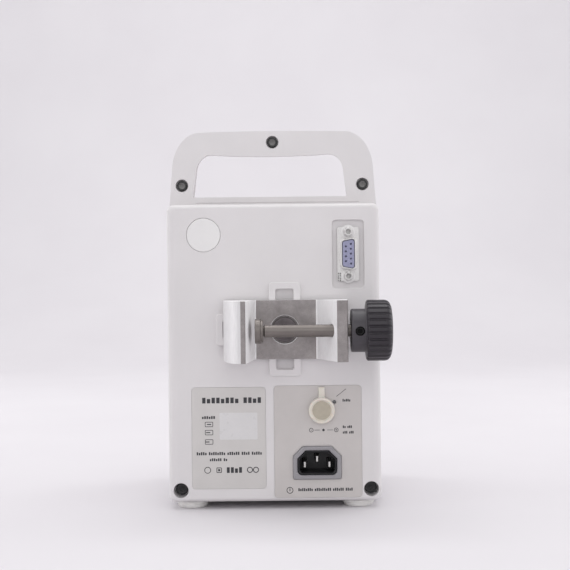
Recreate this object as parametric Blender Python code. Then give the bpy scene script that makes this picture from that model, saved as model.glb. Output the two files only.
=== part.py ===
"""A portable infusion pump with a carry handle, a front door and a pole clamp on its back.

All sizes are in millimetres and are turned into metres where the meshes are made.
X runs across (positive towards the left of someone who stands behind the pump), +Y points
to the back and +Z points up. Shapes are drawn in pump coordinates, whose Y is 0 on the rear
panel and whose X is 0 on the middle of the housing. The empty "pump_root" moves them all so
that the world origin is under the middle of the whole assembly.
"""

import math

import bmesh
import bpy
from mathutils import Vector

MM = 0.001
GAP = 0.3
ROOT_OFFSET = (1.75, 37.0, 0.0)

# Mesh fineness, and how far a cutter reaches past the face that it opens
CIRCLE_SEGMENTS = 24
WIDE_CIRCLE_SEGMENTS = 32
SCREW_SEGMENTS = 18
PIN_SEGMENTS = 16
HOLE_SEGMENTS = 12
CORNER_STEPS = 3
SMOOTH_ANGLE = 35.0
EDGE_ANGLE = 40.0
SAME_PLACE = 0.01
OVERCUT = 1.0

# Housing
HALF_WIDTH = 60.2
BODY_BOTTOM = 4.2
BODY_TOP = 172.7
BODY_CORNER = 4.0
INNER_CORNER = 1.0
BACK_EDGE = 3.5
FRONT_EDGE = 2.0
EDGE_STEPS = 3
WALL = 2.5
BACK_Y = 0.0
SPLIT_Y = -35.0
FRONT_Y = -104.0
BEZEL_FRONT_Y = -118.0

# Carry handle, whose two halves meet at the split
HANDLE_BACK_Y = -20.0
HANDLE_FRONT_Y = -50.0
HANDLE_TOP = 216.0
HANDLE_CROWN = 0.5
HANDLE_BASE = 168.0
HANDLE_BASE_HALF = 60.0
HANDLE_SHOULDER_HALF = 58.8
HANDLE_ARC = (16.5, 22.7)
OPENING_BOTTOM = 179.1
OPENING_TOP = 202.4
OPENING_SAG = 1.2
OPENING_BASE_HALF = 44.3
OPENING_TOP_HALF = 42.4
OPENING_ARC = (8.2, 11.3)
OUTLINE_STEPS = 6
HANDLE_EDGE = 3.2

# Shell screws, as (x, z) on the handle and on the rear panel, and their bores and bosses
HANDLE_SCREWS = {"left": (52.9, 185.1), "right": (-52.3, 185.1), "top": (0.0, 210.0)}
PANEL_SCREWS = {"left": (53.4, 10.9), "right": (-54.4, 10.9)}
HANDLE_BORE_RADIUS = 3.65
HANDLE_BORE_DEPTH = 2.9
PANEL_BORE_RADIUS = 4.25
PANEL_BORE_DEPTH = 9.0
PANEL_BOSS_RADIUS = 5.6
SCREW_HOLE_RADIUS = 1.9
SCREW_HOLE_END_Y = -5.0
SCREW_SHANK_RADIUS = 1.5
SCREW_END_Y = -45.0
HANDLE_HEAD_RADIUS = 3.0
PANEL_HEAD_RADIUS = 3.5
HEAD_HEIGHT = 2.0
HEAD_CHAMFER_HEIGHT = 0.4
HEAD_CHAMFER = 0.5
SOCKET_APOTHEM = 1.2
SOCKET_DEPTH = 1.1
FRONT_BOSS_DEPTH = 7.0
REAR_BOSS_RECESS = 0.4
FRONT_BOSS_RECESS = 0.2
BLIND_HOLE_DEPTH = 2.0

# Feet
FOOT_RADIUS = 9.3
FOOT_X = 47.6
FOOT_Y = (-12.5, -91.0)
FOOT_SOLE_INSET = 1.6
FOOT_EDGE = (0.5, 1.0)

# Things on the rear panel
PLUG = (39.3, 155.4)
PLUG_RADIUS = 9.6
PORT = (-42.5, 143.9)
PORT_RECESS = (17.9, 38.6)
PORT_RECESS_DEPTH = 1.2
PORT_RECESS_CORNER = 2.0
PORT_HOLE = (9.4, 18.8, 1.5)
PORT_HOLE_TOP_Y = -0.8
PORT_FLANGE = (12.5, 30.8)
PORT_FLANGE_CORNER = 1.5
PORT_FLANGE_THICKNESS = 0.8
PORT_RIM_HEIGHT = 3.6
PORT_BACK_Y = -8.0
PORT_TAPER = 1.3
PORT_OUTER = (8.6, 18.0, PORT_TAPER, 2.2)
PORT_INNER = (7.2, 16.6, PORT_TAPER, 1.6)
PORT_INSERT_CORNER = 1.4
PORT_INSERT_BACK_Y = -9.0
PORT_INSERT_DROP = 0.4
PORT_SCREW_SPACING = 25.0
JACKSCREW_APOTHEM = 2.4
JACKSCREW_HEIGHT = 4.0
JACKSCREW_RIM = (0.4, 2.1)
JACKSCREW_HOLE_RADIUS = 1.35
JACKSCREW_FLOOR = 1.0
RATING_LABEL = (5.1, 46.9, 11.8, 69.1)
INLET_LABEL = (-49.1, 0.4, 6.4, 69.7)
LABEL_POCKET = 0.5
LABEL_FACE_Y = 0.12
LABEL_CORNER = 2.0
LABEL_CUTTER_HALF = 2.0
PLUG_BACK_CHAMFER = 0.6
PLUG_FACE_CHAMFER = (0.5, 0.4)
INLET = (-23.8, 26.1)
INLET_BEZEL = (27.2, 18.5)
INLET_CHAMFER = 5.6
INLET_CORNER = 1.0
INLET_LABEL_CORNER = 1.3
INLET_FACE_Y = 1.3
INLET_FACE_EDGE = 0.5
INLET_RECESS = 0.4
INLET_HOLE = (24.6, 16.1, 5.0, 1.5)
INLET_BODY = (21.8, 13.3)
INLET_BODY_CHAMFER = 4.4
INLET_BODY_CORNER = 2.4
INLET_BODY_FACE_Y = 1.0
INLET_OPENING_EXTRA = 0.2
INLET_WALL = 1.0
INLET_CAVITY_CHAMFER = 3.8
INLET_CAVITY_CORNER = 1.6
INLET_DEPTH = 18.0
INLET_FLOOR = 3.0
PIN_SPREAD = 7.0
PIN_RISE = 1.6
PIN_SIZE = (2.0, 4.0)
PIN_TIP = (1.2, 3.2)
PIN_TIP_Y = (-4.4, -3.6)
PIN_CORNER = 0.3
PIN_SLOT_CORNER = 0.4
PIN_TAIL = 4.0
JACK = (-26.6, 55.7)
JACK_RADIUS = 5.3
JACK_BODY_RADIUS = 6.5
JACK_BACK_Y = -14.0
JACK_FACE_Y = 0.2
JACK_BORE = (-11.0, 3.1)
JACK_PIN = (-2.0, 1.0)
CAP_RADIUS = 7.35
CAP_EDGE = 0.5
CAP_BACK_Y = (0.5, 1.0)
CAP_FACE_Y = (2.6, 3.2)
CAP_RIM = 1.7
CAP_DISH = (2.3, 2.3)
CAP_PIVOT = (1.1, 68.2)
STRAP_HALF_THICKNESS = 0.6
STRAP_HALF_WIDTH = 1.7
STRAP_ROOT = 5.4
STRAP_STEPS = 6
RESET = (-33.8, 60.3)
RESET_HOLE_RADIUS = 1.0
RESET_LABEL_RADIUS = 1.2
RESET_FLANGE = (-6.0, 2.0)
RESET_STEM = (-1.0, 0.65)

# Cross-shaped boss that carries the clamp
CLAMP_X = -6.2
CLAMP_Z = 101.8
BOSS_HEIGHT = 2.0
BOSS_ARM = 17.9
BOSS_TALL = 53.2
BOSS_WIDE = 77.6
BOSS_RIM = 3.9
BOSS_CORNER = 1.5
BOSS_ROOT = 0.5
SLOT_DEPTH = 1.0
BOLT_HOLE_RADIUS = 3.4
BOLT_BOSS_RADIUS = 6.5
BOLT_BOSS_DEPTH = 3.0

# Pole clamp
CLAMP_HALF_HEIGHT = 16.5
CLAMP_BACK_Y = 2.3
WEB_FACE_Y = 8.0
LEFT_JAW_TIP_Y = 45.0
RIGHT_JAW_TIP_Y = 38.5
LEFT_JAW_HEEL_X = 28.2
LEFT_JAW_TIP_X = (17.1, 14.6)
LEFT_JAW_CURVE = (80.0, 8)
RIGHT_JAW_TIP_X = (-34.7, -40.0)
RIGHT_JAW_HEEL_X = -41.5
WEB_X = (10.4, -24.3)
COUNTERBORE_RADIUS = 8.0
COUNTERBORE_DEPTH = 3.5
BOLT_END_Y = -9.0
BOLT_SHANK_RADIUS = 3.0
BOLT_HEAD_RADIUS = 6.9
BOLT_HEAD_HEIGHT = 2.6
BOLT_CHAMFER = (0.6, 0.7)
BOLT_SOCKET = (2.5, 1.8)
ROD_Y = 29.0
ROD_RADIUS = 3.35
ROD_INNER_X = 7.5
ROD_OUTER_X = -55.5
ROD_HOLE_X = (-45.0, -20.0)
ROD_NECK_LENGTH = 0.5
ROD_NECK_RADII = (2.4, 2.6)
PAD_FACE_X = 9.9
PAD_BACK_X = 5.5
PAD_RADIUS = 6.75
PAD_BORE_RADIUS = 2.95
PAD_BACK_RADIUS = 6.1
PAD_EDGE = 0.6
KNOB_INNER_X = -41.9
KNOB_STEP_X = -50.1
KNOB_OUTER_X = -63.7
KNOB_HUB_RADIUS = 11.7
KNOB_RADIUS = 16.45
KNOB_RIBS = 28
KNOB_RIB_DEPTH = 0.8
KNOB_RIB_SHAPE = ((0.0, 0.0), (0.5, 0.0), (0.65, 1.0), (0.85, 1.0))
KNOB_GRIP = ((0.0, 1.1, 0.4), (1.0, 0.0, 1.0), (9.8, 0.0, 1.0), (12.4, 0.8, 0.6))
KNOB_FACE_RADIUS = 13.0
KNOB_HUB_EDGE = 0.8
KNOB_HUB_ROOT = 2.0
KNOB_BORE_OPENING = 1.0
GRUB_X = -46.3
GRUB_BORE = (2.0, 2.5)
GRUB_RADIUS = 2.2
GRUB_POINT = (1.4, 0.8)
GRUB_DEPTH = 1.6
GRUB_SOCKET = (1.2, 2.4)

# Front: control bezel on one side and door on the other
BEZEL_EDGE_X = 13.5
DISPLAY = (-23.5, 140.0, 57.0, 40.0)
KEY_COLUMNS = (-42.0, -23.5, -5.0)
KEY_ROWS = (104.0, 88.0)
KEY_SIZE = (14.0, 9.0)
KEY_FACE_Y = -119.0
KEY_CORNER = 2.0
KEY_CLEARANCE = 0.4
KEY_FACE_INSET = 0.5
KEY_FACE_CORNER = 1.4
KEY_SIDE_CORNER = 1.8
KEY_FLANGE = (0.8, 0.8)
DISPLAY_CORNER = 2.0
PANE_CORNER = 1.7
PANE_DEPTH = (0.2, 1.8)
BEZEL_EDGE = 2.8
BEZEL_INNER_CORNER = 1.5
GRILLE_SLOTS = 5
GRILLE_SLOT = (30.0, 2.0, 0.9)
GRILLE_BOTTOM = 34.0
GRILLE_PITCH = 5.0
BOARD_WINDOW = (-52.0, 6.0, 22.0, 156.0, 3.0)
DOOR_X = (14.5, 60.0)
DOOR_Z = (12.0, 165.0)
DOOR_BACK_Y = -104.5
DOOR_WALL = 2.2
DOOR_CORNER = 2.0
DOOR_FACE_EDGE = 2.0
DOOR_BACK_EDGE = (1.4, 2)
DOOR_INNER_CORNER = 1.0
HINGE_X = 57.4
HINGE_Y = -108.3
HINGE_PIN_RADIUS = 1.1
HINGE_CLEARANCE = 3.4
LUG_HEIGHT = 6.0
LUG_X = (53.4, 60.0)
LUG_ROOT = 2.2
LUG_CORNER = 1.0
LUG_CLEARANCE = 0.5
LUG_FLOOR = 1.2
PIN_INSET = 1.5
LATCH_X = (17.0, 33.0)
LATCH_Z = (68.0, 108.0)
LATCH_RECESS = 3.4
LATCH_CLEARANCE = 0.4
LATCH_CORNER = 1.0
LATCH_AXIS = (31.6, -116.6)
LATCH_RADIUS = 1.1
LATCH_STEPS = 6
LATCH_TAPER = (3.0, 0.2)

# Pumping mechanism
CAM_X = 36.0
CAM_Y = -80.0
CAM_RADIUS = 7.0
CAM_THROW = 1.5
SHAFT_RADIUS = 2.5
FINGERS = 6
FINGER_PITCH = 6.0
FINGER_MIDDLE_Z = 88.0
FINGER_THICKNESS = 5.2
FINGER_WIDTH = 9.2
FINGER_LENGTH = 16.6
GEAR_MODULE = 1.2
GEAR_TEETH = 30
PINION_TEETH = 10
GEAR_Z = (58.0, 63.0)
MOTOR_Z = (66.6, 97.0)
MOTOR_SIDE = 28.0
MOTOR_CORNER = (3.0, 5)
MOTOR_BORE_DEPTH = 4.6
MOTOR_SHAFT_RADIUS = 1.5
PINION_SHAFT_ENDS = (0.5, 4.0)
FRAME_BOTTOM_Z = 52.0
FRAME_TOP_Z = 114.0
FRAME_PLATE = 2.0
FRAME_Y = (-38.0, -97.0)
FRAME_HALF_WIDTH = 18.0
SHELF_FRONT_Y = -68.0
SHELF_HOLE_RADIUS = 5.0
SHAFT_ENDS = 2.0
CAM_HALF_THICKNESS = 2.2
FINGER_NOSE = (1.2, 2.6)
FINGER_WINDOW_CORNER = 0.3
TOOTH_ADDENDUM = 0.9
TOOTH_DEDENDUM = 1.15
TOOTH_SHARES = (0.30, 0.11)
TUBE_X = 36.0
TUBE_NOTCH = (3.0, 4.0, -110.6, 0.8)
SENSOR_HALF_WIDTH = 8.0
SENSOR_SLOT_HALF = 2.4
SENSOR_DEPTH = 7.0
SENSOR_FLOOR = 2.0
SENSOR_Z = (44.0, 58.0)
PLATEN_SECTIONS = ((-110.6, 0.0, 1.5), (-109.4, 0.0, 1.5), (-108.9, 1.0, 1.2))
PLATEN_SIZE = (15.0, 46.0)

# Electronics, as boxes between two corners: the board first, then its larger components
MAIN_BOARD = (
    ((-54.0, -112.4, 24.0), (8.0, -110.8, 162.0)),
    ((-50.0, -115.0, 121.0), (4.0, -112.0, 159.0)),
    ((-40.0, -111.5, 60.0), (-26.0, -108.0, 74.0)),
    ((-18.0, -111.5, 50.0), (-6.0, -105.5, 62.0)),
    ((-46.0, -111.5, 100.0), (-30.0, -107.0, 104.0)),
)
POWER_MODULE = (
    ((-56.0, -31.0, 38.0), (4.0, -29.4, 84.0)),
    ((-50.0, -46.0, 44.0), (-28.0, -30.0, 66.0)),
    ((-20.0, -42.0, 42.0), (-8.0, -30.0, 54.0)),
    ((-24.0, -40.0, 62.0), (0.0, -30.0, 66.0)),
    ((-16.0, -44.0, 70.0), (-4.0, -30.0, 80.0)),
)
BATTERY_SIDES = (-52.0, 8.0, -94.0, -56.0)
BATTERY_CORNER = 5.0
BATTERY_Z = (8.0, 74.0)
BATTERY_EDGE = (1.5, 2)

# Colour, roughness and metallic value of each material
WHITE_ABS = (0.62, 0.60, 0.60), 0.45, 0.0
PALE_ABS = (0.66, 0.65, 0.64), 0.5, 0.0
RUBBER = (0.70, 0.69, 0.67), 0.8, 0.0
LABEL_FILM = (0.50, 0.47, 0.45), 0.5, 0.0
BLACK_PLASTIC = (0.02, 0.02, 0.022), 0.4, 0.0
GREY_PLASTIC = (0.30, 0.29, 0.31), 0.5, 0.0
BLUE_PLASTIC = (0.25, 0.27, 0.45), 0.45, 0.0
SILICONE = (0.45, 0.42, 0.35), 0.55, 0.0
ALUMINIUM = (0.72, 0.71, 0.71), 0.32, 1.0
STEEL = (0.55, 0.55, 0.56), 0.3, 1.0
DARK_STEEL = (0.12, 0.12, 0.12), 0.45, 1.0
GLASS = (0.03, 0.035, 0.04), 0.1, 0.0
BOARD_GREEN = (0.03, 0.16, 0.07), 0.5, 0.0
KEY_GREY = (0.35, 0.40, 0.48), 0.5, 0.0
NYLON = (0.75, 0.74, 0.68), 0.5, 0.0
CELL_BLUE = (0.05, 0.12, 0.35), 0.4, 0.0


# ---------------------------------------------------------------- outlines

def arc(centre, radii, start, end, steps):
    """Points on an elliptical arc between two angles in degrees."""
    points = []
    for step in range(steps + 1):
        angle = math.radians(start + (end - start) * step / steps)
        points.append((centre[0] + radii[0] * math.cos(angle), centre[1] + radii[1] * math.sin(angle)))
    return points


def circle(radius, segments=CIRCLE_SEGMENTS, centre=(0.0, 0.0)):
    """A closed circle, counterclockwise from the first axis."""
    return arc(centre, (radius, radius), 0.0, 360.0 * (segments - 1) / segments, segments - 1)


def hexagon(apothem, segments=CIRCLE_SEGMENTS, centre=(0.0, 0.0)):
    """A hexagon with as many points as the circles it is lofted to."""
    side_angle = math.radians(60.0)
    points = []
    for step in range(segments):
        angle = 2.0 * math.pi * step / segments
        turned = (angle + side_angle / 2.0) % side_angle - side_angle / 2.0
        radius = apothem / math.cos(turned)
        points.append((centre[0] + radius * math.cos(angle), centre[1] + radius * math.sin(angle)))
    return points


def rounded_rectangle(width, height, radius, centre=(0.0, 0.0), steps=CORNER_STEPS):
    """A rectangle with round corners, counterclockwise."""
    across = width / 2.0 - radius
    up = height / 2.0 - radius
    points = []
    for sign_a, sign_b, start in ((1, 1, 0.0), (-1, 1, 90.0), (-1, -1, 180.0), (1, -1, 270.0)):
        corner = (centre[0] + sign_a * across, centre[1] + sign_b * up)
        points += arc(corner, (radius, radius), start, start + 90.0, steps)
    return points


def box_outline(low_a, high_a, low_b, high_b, radius, steps=CORNER_STEPS):
    """A rounded rectangle given by its sides."""
    centre = ((low_a + high_a) / 2.0, (low_b + high_b) / 2.0)
    return rounded_rectangle(high_a - low_a, high_b - low_b, radius, centre, steps)


def handle_outer():
    """Outer edge of the handle, from the base on the +X side over the top."""
    top_x = HANDLE_SHOULDER_HALF - HANDLE_ARC[0]
    arc_z = HANDLE_TOP - HANDLE_ARC[1]
    right = arc((top_x, arc_z), HANDLE_ARC, 0.0, 90.0, OUTLINE_STEPS)
    left = [(-x, z) for x, z in reversed(right)]
    top = [(0.0, HANDLE_TOP + HANDLE_CROWN)]
    return [(HANDLE_BASE_HALF, HANDLE_BASE)] + right + top + left + [(-HANDLE_BASE_HALF, HANDLE_BASE)]


def handle_opening():
    """Finger opening, point for point with the outer edge; its top sags a little in the middle."""
    top_x = OPENING_TOP_HALF - OPENING_ARC[0]
    arc_z = OPENING_TOP - OPENING_ARC[1]
    right = arc((top_x, arc_z), OPENING_ARC, 0.0, 90.0, OUTLINE_STEPS)
    left = [(-x, z) for x, z in reversed(right)]
    top = [(0.0, OPENING_TOP - OPENING_SAG)]
    return [(OPENING_BASE_HALF, OPENING_BOTTOM)] + right + top + left + [(-OPENING_BASE_HALF, OPENING_BOTTOM)]


def chamfered_top(width, height, chamfer, radius, centre, steps=CORNER_STEPS):
    """A rectangle with two chamfered top corners and two round bottom corners."""
    half = width / 2.0
    low = centre[1] - height / 2.0
    high = centre[1] + height / 2.0
    points = [(centre[0] + half, high - chamfer), (centre[0] + half - chamfer, high)]
    points += [(centre[0] - half + chamfer, high), (centre[0] - half, high - chamfer)]
    points += arc((centre[0] - half + radius, low + radius), (radius, radius), 180.0, 270.0, steps)
    points += arc((centre[0] + half - radius, low + radius), (radius, radius), 270.0, 360.0, steps)
    return points


def connector_outline(width, height, taper, radius, centre, steps=CORNER_STEPS):
    """The D of a nine-way connector, standing upright: its +X side is the shorter one."""
    points = []
    for sign_a, sign_b, start in ((1, 1, 0.0), (-1, 1, 90.0), (-1, -1, 180.0), (1, -1, 270.0)):
        reach = height / 2.0 - radius - (taper if sign_a > 0 else 0.0)
        corner = (centre[0] + sign_a * (width / 2.0 - radius), centre[1] + sign_b * reach)
        points += arc(corner, (radius, radius), start, start + 90.0, steps)
    return points


def gear_outline(teeth, centre, first_tooth):
    """A spur gear with straight-sided, slightly thin teeth; first_tooth is in degrees."""
    pitch_radius = GEAR_MODULE * teeth / 2.0
    tip = pitch_radius + TOOTH_ADDENDUM * GEAR_MODULE
    root = pitch_radius - TOOTH_DEDENDUM * GEAR_MODULE
    pitch_angle = 360.0 / teeth
    wide, narrow = TOOTH_SHARES
    points = []
    for tooth in range(teeth):
        middle = first_tooth + tooth * pitch_angle
        for share, radius in ((-wide, root), (-narrow, tip), (narrow, tip), (wide, root)):
            angle = math.radians(middle + share * pitch_angle)
            points.append((centre[0] + radius * math.cos(angle), centre[1] + radius * math.sin(angle)))
    return points


def ribbed_circle(radius, depth):
    """The knob's grip: two points on each rib and two in each groove."""
    points = []
    for rib in range(KNOB_RIBS):
        for share, drop in KNOB_RIB_SHAPE:
            angle = 2.0 * math.pi * (rib + share) / KNOB_RIBS
            reach = radius - drop * depth
            points.append((reach * math.cos(angle), reach * math.sin(angle)))
    return points


def shifted(points, centre):
    """The same outline round another centre."""
    return [(a + centre[0], b + centre[1]) for a, b in points]


# ---------------------------------------------------------------- solids

def along(axis, a, b, position):
    """A point in metres from its place across an axis and its position along it."""
    places = {"X": (position, a, b), "Y": (a, position, b), "Z": (a, b, position)}
    return Vector(places[axis]) * MM


def outline_loops(bm, axis, sections):
    """One loop of vertices for each (position, outline)."""
    return [[bm.verts.new(along(axis, a, b, position)) for a, b in outline] for position, outline in sections]


def add_loft(bm, axis, sections):
    """A closed solid through outlines with equal point counts, given as (position, outline)."""
    rings = outline_loops(bm, axis, sections)
    for lower, upper in zip(rings, rings[1:]):
        for i in range(len(lower)):
            bm.faces.new((lower[i - 1], lower[i], upper[i], upper[i - 1]))
    bm.faces.new(rings[0])
    bm.faces.new(rings[-1])


def add_prism(bm, axis, low, high, outline):
    """An outline extruded along an axis."""
    add_loft(bm, axis, [(low, outline), (high, outline)])


def add_ring(bm, axis, sections):
    """A closed ring through outlines with equal point counts, given as (position, outline)."""
    loops = outline_loops(bm, axis, sections)
    for first, second in zip(loops, loops[1:] + loops[:1]):
        for i in range(len(first)):
            bm.faces.new((first[i - 1], first[i], second[i], second[i - 1]))


def add_frame(bm, axis, low, high, outer, inner):
    """A ring between two outlines with equal point counts, extruded along an axis."""
    add_ring(bm, axis, [(low, outer), (high, outer), (high, inner), (low, inner)])


def add_turned(bm, axis, centre, profile, segments=CIRCLE_SEGMENTS):
    """A turned solid from (position, radius) pairs."""
    add_loft(bm, axis, [(position, circle(radius, segments, centre)) for position, radius in profile])


def add_box(bm, low, high):
    """A plain box between two corners."""
    outline = [(low[0], low[1]), (high[0], low[1]), (high[0], high[1]), (low[0], high[1])]
    add_prism(bm, "Z", low[2], high[2], outline)


def bevel_where(bm, width, segments, chosen):
    """Rounds the edges that lie wholly where chosen(point in millimetres) is true."""
    edges = [edge for edge in bm.edges if all(chosen(vert.co / MM) for vert in edge.verts)]
    edges = [edge for edge in edges if edge.calc_face_angle(0.0) > math.radians(EDGE_ANGLE)]
    bmesh.ops.bevel(bm, geom=edges, offset=width * MM, segments=segments, profile=0.5, affect="EDGES")


def close_to(value, wanted):
    """True within a hundredth of a millimetre."""
    return abs(value - wanted) < SAME_PLACE


def make_material(name, look):
    """A Principled material from a (colour, roughness, metallic) look."""
    colour, roughness, metallic = look
    made = bpy.data.materials.new(name)
    made.use_nodes = True
    shader = made.node_tree.nodes["Principled BSDF"]
    shader.inputs["Base Color"].default_value = (*colour, 1.0)
    shader.inputs["Roughness"].default_value = roughness
    shader.inputs["Metallic"].default_value = metallic
    return made


def make_object(name, bm, pivot=(0.0, 0.0, 0.0)):
    """An object from a mesh drawn in pump coordinates, with its origin at the pivot."""
    bmesh.ops.recalc_face_normals(bm, faces=bm.faces)
    bmesh.ops.translate(bm, vec=-Vector(pivot) * MM, verts=bm.verts)
    mesh = bpy.data.meshes.new(name)
    bm.to_mesh(mesh)
    bm.free()
    mesh.shade_smooth()
    mesh.set_sharp_from_angle(angle=math.radians(SMOOTH_ANGLE))
    made = bpy.data.objects.new(name, mesh)
    made.location = Vector(pivot) * MM
    bpy.context.scene.collection.objects.link(made)
    made.parent = bpy.data.objects["pump_root"]
    return made


def make_part(name, bm, look, pivot=(0.0, 0.0, 0.0)):
    """A sub-part with its own material."""
    part = make_object(name, bm, pivot)
    part.data.materials.append(make_material(name, look))
    return part


def combine(part, operation, bm):
    """Cuts or joins a tool mesh to a part with an exact Boolean."""
    tool = make_object(f"{part.name}_{operation.lower()}_{len(part.modifiers)}", bm)
    tool.hide_render = True
    tool.display_type = "WIRE"
    modifier = part.modifiers.new(operation.title(), "BOOLEAN")
    modifier.operation = operation
    modifier.solver = "EXACT"
    modifier.object = tool


def make_root():
    """The empty that carries every piece."""
    root = bpy.data.objects.new("pump_root", None)
    root.location = Vector(ROOT_OFFSET) * MM
    bpy.context.scene.collection.objects.link(root)


# ---------------------------------------------------------------- housing

def housing_outline(inset):
    """The housing seen from the back, less an inset all round."""
    corner = max(BODY_CORNER - inset, INNER_CORNER)
    return box_outline(-HALF_WIDTH + inset, HALF_WIDTH - inset, BODY_BOTTOM + inset, BODY_TOP - inset, corner)


def handle_half(low_y, high_y, rounded_y):
    """Half of the handle, with its outer face rounded over."""
    bm = bmesh.new()
    add_frame(bm, "Y", low_y, high_y, handle_outer(), handle_opening())
    bevel_where(bm, HANDLE_EDGE, EDGE_STEPS, lambda point: close_to(point.y, rounded_y))
    return bm


def cross_outline_boxes(width, tall, wide, low_y, high_y):
    """The upright and the level arm of the cross, as two meshes."""
    meshes = []
    for size_x, size_z in ((width, tall), (wide, width)):
        bm = bmesh.new()
        add_prism(bm, "Y", low_y, high_y, rounded_rectangle(size_x, size_z, BOSS_CORNER, (CLAMP_X, CLAMP_Z)))
        meshes.append(bm)
    return meshes


def rear_panel_holes():
    """Everything cut right through the rear panel, as one tool of separate bodies."""
    bm = bmesh.new()
    inside = -WALL - OVERCUT
    add_prism(bm, "Y", inside, PORT_HOLE_TOP_Y, rounded_rectangle(*PORT_HOLE, PORT))
    add_prism(bm, "Y", inside, OVERCUT, chamfered_top(*INLET_HOLE, INLET))
    bolt = (CLAMP_X, CLAMP_Z)
    add_drill(bm, PLUG, inside, OVERCUT, PLUG_RADIUS + GAP, WIDE_CIRCLE_SEGMENTS)
    add_drill(bm, JACK, inside, OVERCUT, JACK_RADIUS + GAP, CIRCLE_SEGMENTS)
    add_drill(bm, RESET, inside, OVERCUT, RESET_HOLE_RADIUS, HOLE_SEGMENTS)
    add_drill(bm, bolt, BOLT_END_Y - OVERCUT, BOSS_HEIGHT + OVERCUT, BOLT_HOLE_RADIUS, CIRCLE_SEGMENTS)
    for centre in PANEL_SCREWS.values():
        add_drill(bm, centre, -PANEL_BORE_DEPTH, OVERCUT, PANEL_BORE_RADIUS, CIRCLE_SEGMENTS)
    bottom, top = HANDLE_BACK_Y - HANDLE_BORE_DEPTH, HANDLE_BACK_Y + OVERCUT
    for centre in HANDLE_SCREWS.values():
        add_drill(bm, centre, bottom, top, HANDLE_BORE_RADIUS, CIRCLE_SEGMENTS)
    return bm


def add_drill(bm, centre, low_y, high_y, radius, segments):
    """A plain round cutter along Y."""
    add_turned(bm, "Y", centre, [(low_y, radius), (high_y, radius)], segments)


def shell_screw_holes(low_y, high_y):
    """Clearance holes for all five shell screws between two depths."""
    bm = bmesh.new()
    for centre in list(HANDLE_SCREWS.values()) + list(PANEL_SCREWS.values()):
        add_drill(bm, centre, low_y, high_y, SCREW_HOLE_RADIUS, HOLE_SEGMENTS)
    return bm


def surface_pockets():
    """Shallow pockets for the serial port and the two labels."""
    bm = bmesh.new()
    port = rounded_rectangle(*PORT_RECESS, PORT_RECESS_CORNER, PORT)
    add_prism(bm, "Y", -PORT_RECESS_DEPTH, OVERCUT, port)
    for low_x, high_x, low_z, high_z in (RATING_LABEL, INLET_LABEL):
        outline = box_outline(low_x - GAP, high_x + GAP, low_z - GAP, high_z + GAP, LABEL_CORNER + GAP)
        add_prism(bm, "Y", -LABEL_POCKET, OVERCUT, outline)
    return bm


def rear_shell():
    """Rear shell with the back half of the handle and the clamp's boss."""
    bm = bmesh.new()
    add_prism(bm, "Y", SPLIT_Y, BACK_Y, housing_outline(0.0))
    bevel_where(bm, BACK_EDGE, EDGE_STEPS, lambda point: close_to(point.y, BACK_Y))
    part = make_part("rear_shell", bm, WHITE_ABS)
    combine(part, "UNION", handle_half(SPLIT_Y, HANDLE_BACK_Y, HANDLE_BACK_Y))
    for tool in cross_outline_boxes(BOSS_ARM, BOSS_TALL, BOSS_WIDE, -WALL + BOSS_ROOT, BOSS_HEIGHT):
        combine(part, "UNION", tool)
    bm = bmesh.new()
    add_prism(bm, "Y", SPLIT_Y - OVERCUT, -WALL, housing_outline(WALL))
    combine(part, "DIFFERENCE", bm)
    combine(part, "UNION", rear_bosses())
    sizes = (size - 2.0 * BOSS_RIM for size in (BOSS_ARM, BOSS_TALL, BOSS_WIDE))
    for tool in cross_outline_boxes(*sizes, -SLOT_DEPTH, BOSS_HEIGHT + OVERCUT):
        combine(part, "DIFFERENCE", tool)
    combine(part, "DIFFERENCE", surface_pockets())
    combine(part, "DIFFERENCE", rear_panel_holes())
    combine(part, "DIFFERENCE", shell_screw_holes(SPLIT_Y - OVERCUT, SCREW_HOLE_END_Y))


def rear_bosses():
    """Bosses inside the rear shell for the panel screws and the clamp's bolt."""
    bm = bmesh.new()
    for centre in PANEL_SCREWS.values():
        add_drill(bm, centre, SPLIT_Y + REAR_BOSS_RECESS, -OVERCUT, PANEL_BOSS_RADIUS, CIRCLE_SEGMENTS)
    bolt = (CLAMP_X, CLAMP_Z)
    low_y, high_y = BOLT_END_Y - BOLT_BOSS_DEPTH, -SLOT_DEPTH - BOSS_ROOT
    add_drill(bm, bolt, low_y, high_y, BOLT_BOSS_RADIUS, CIRCLE_SEGMENTS)
    return bm


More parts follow.
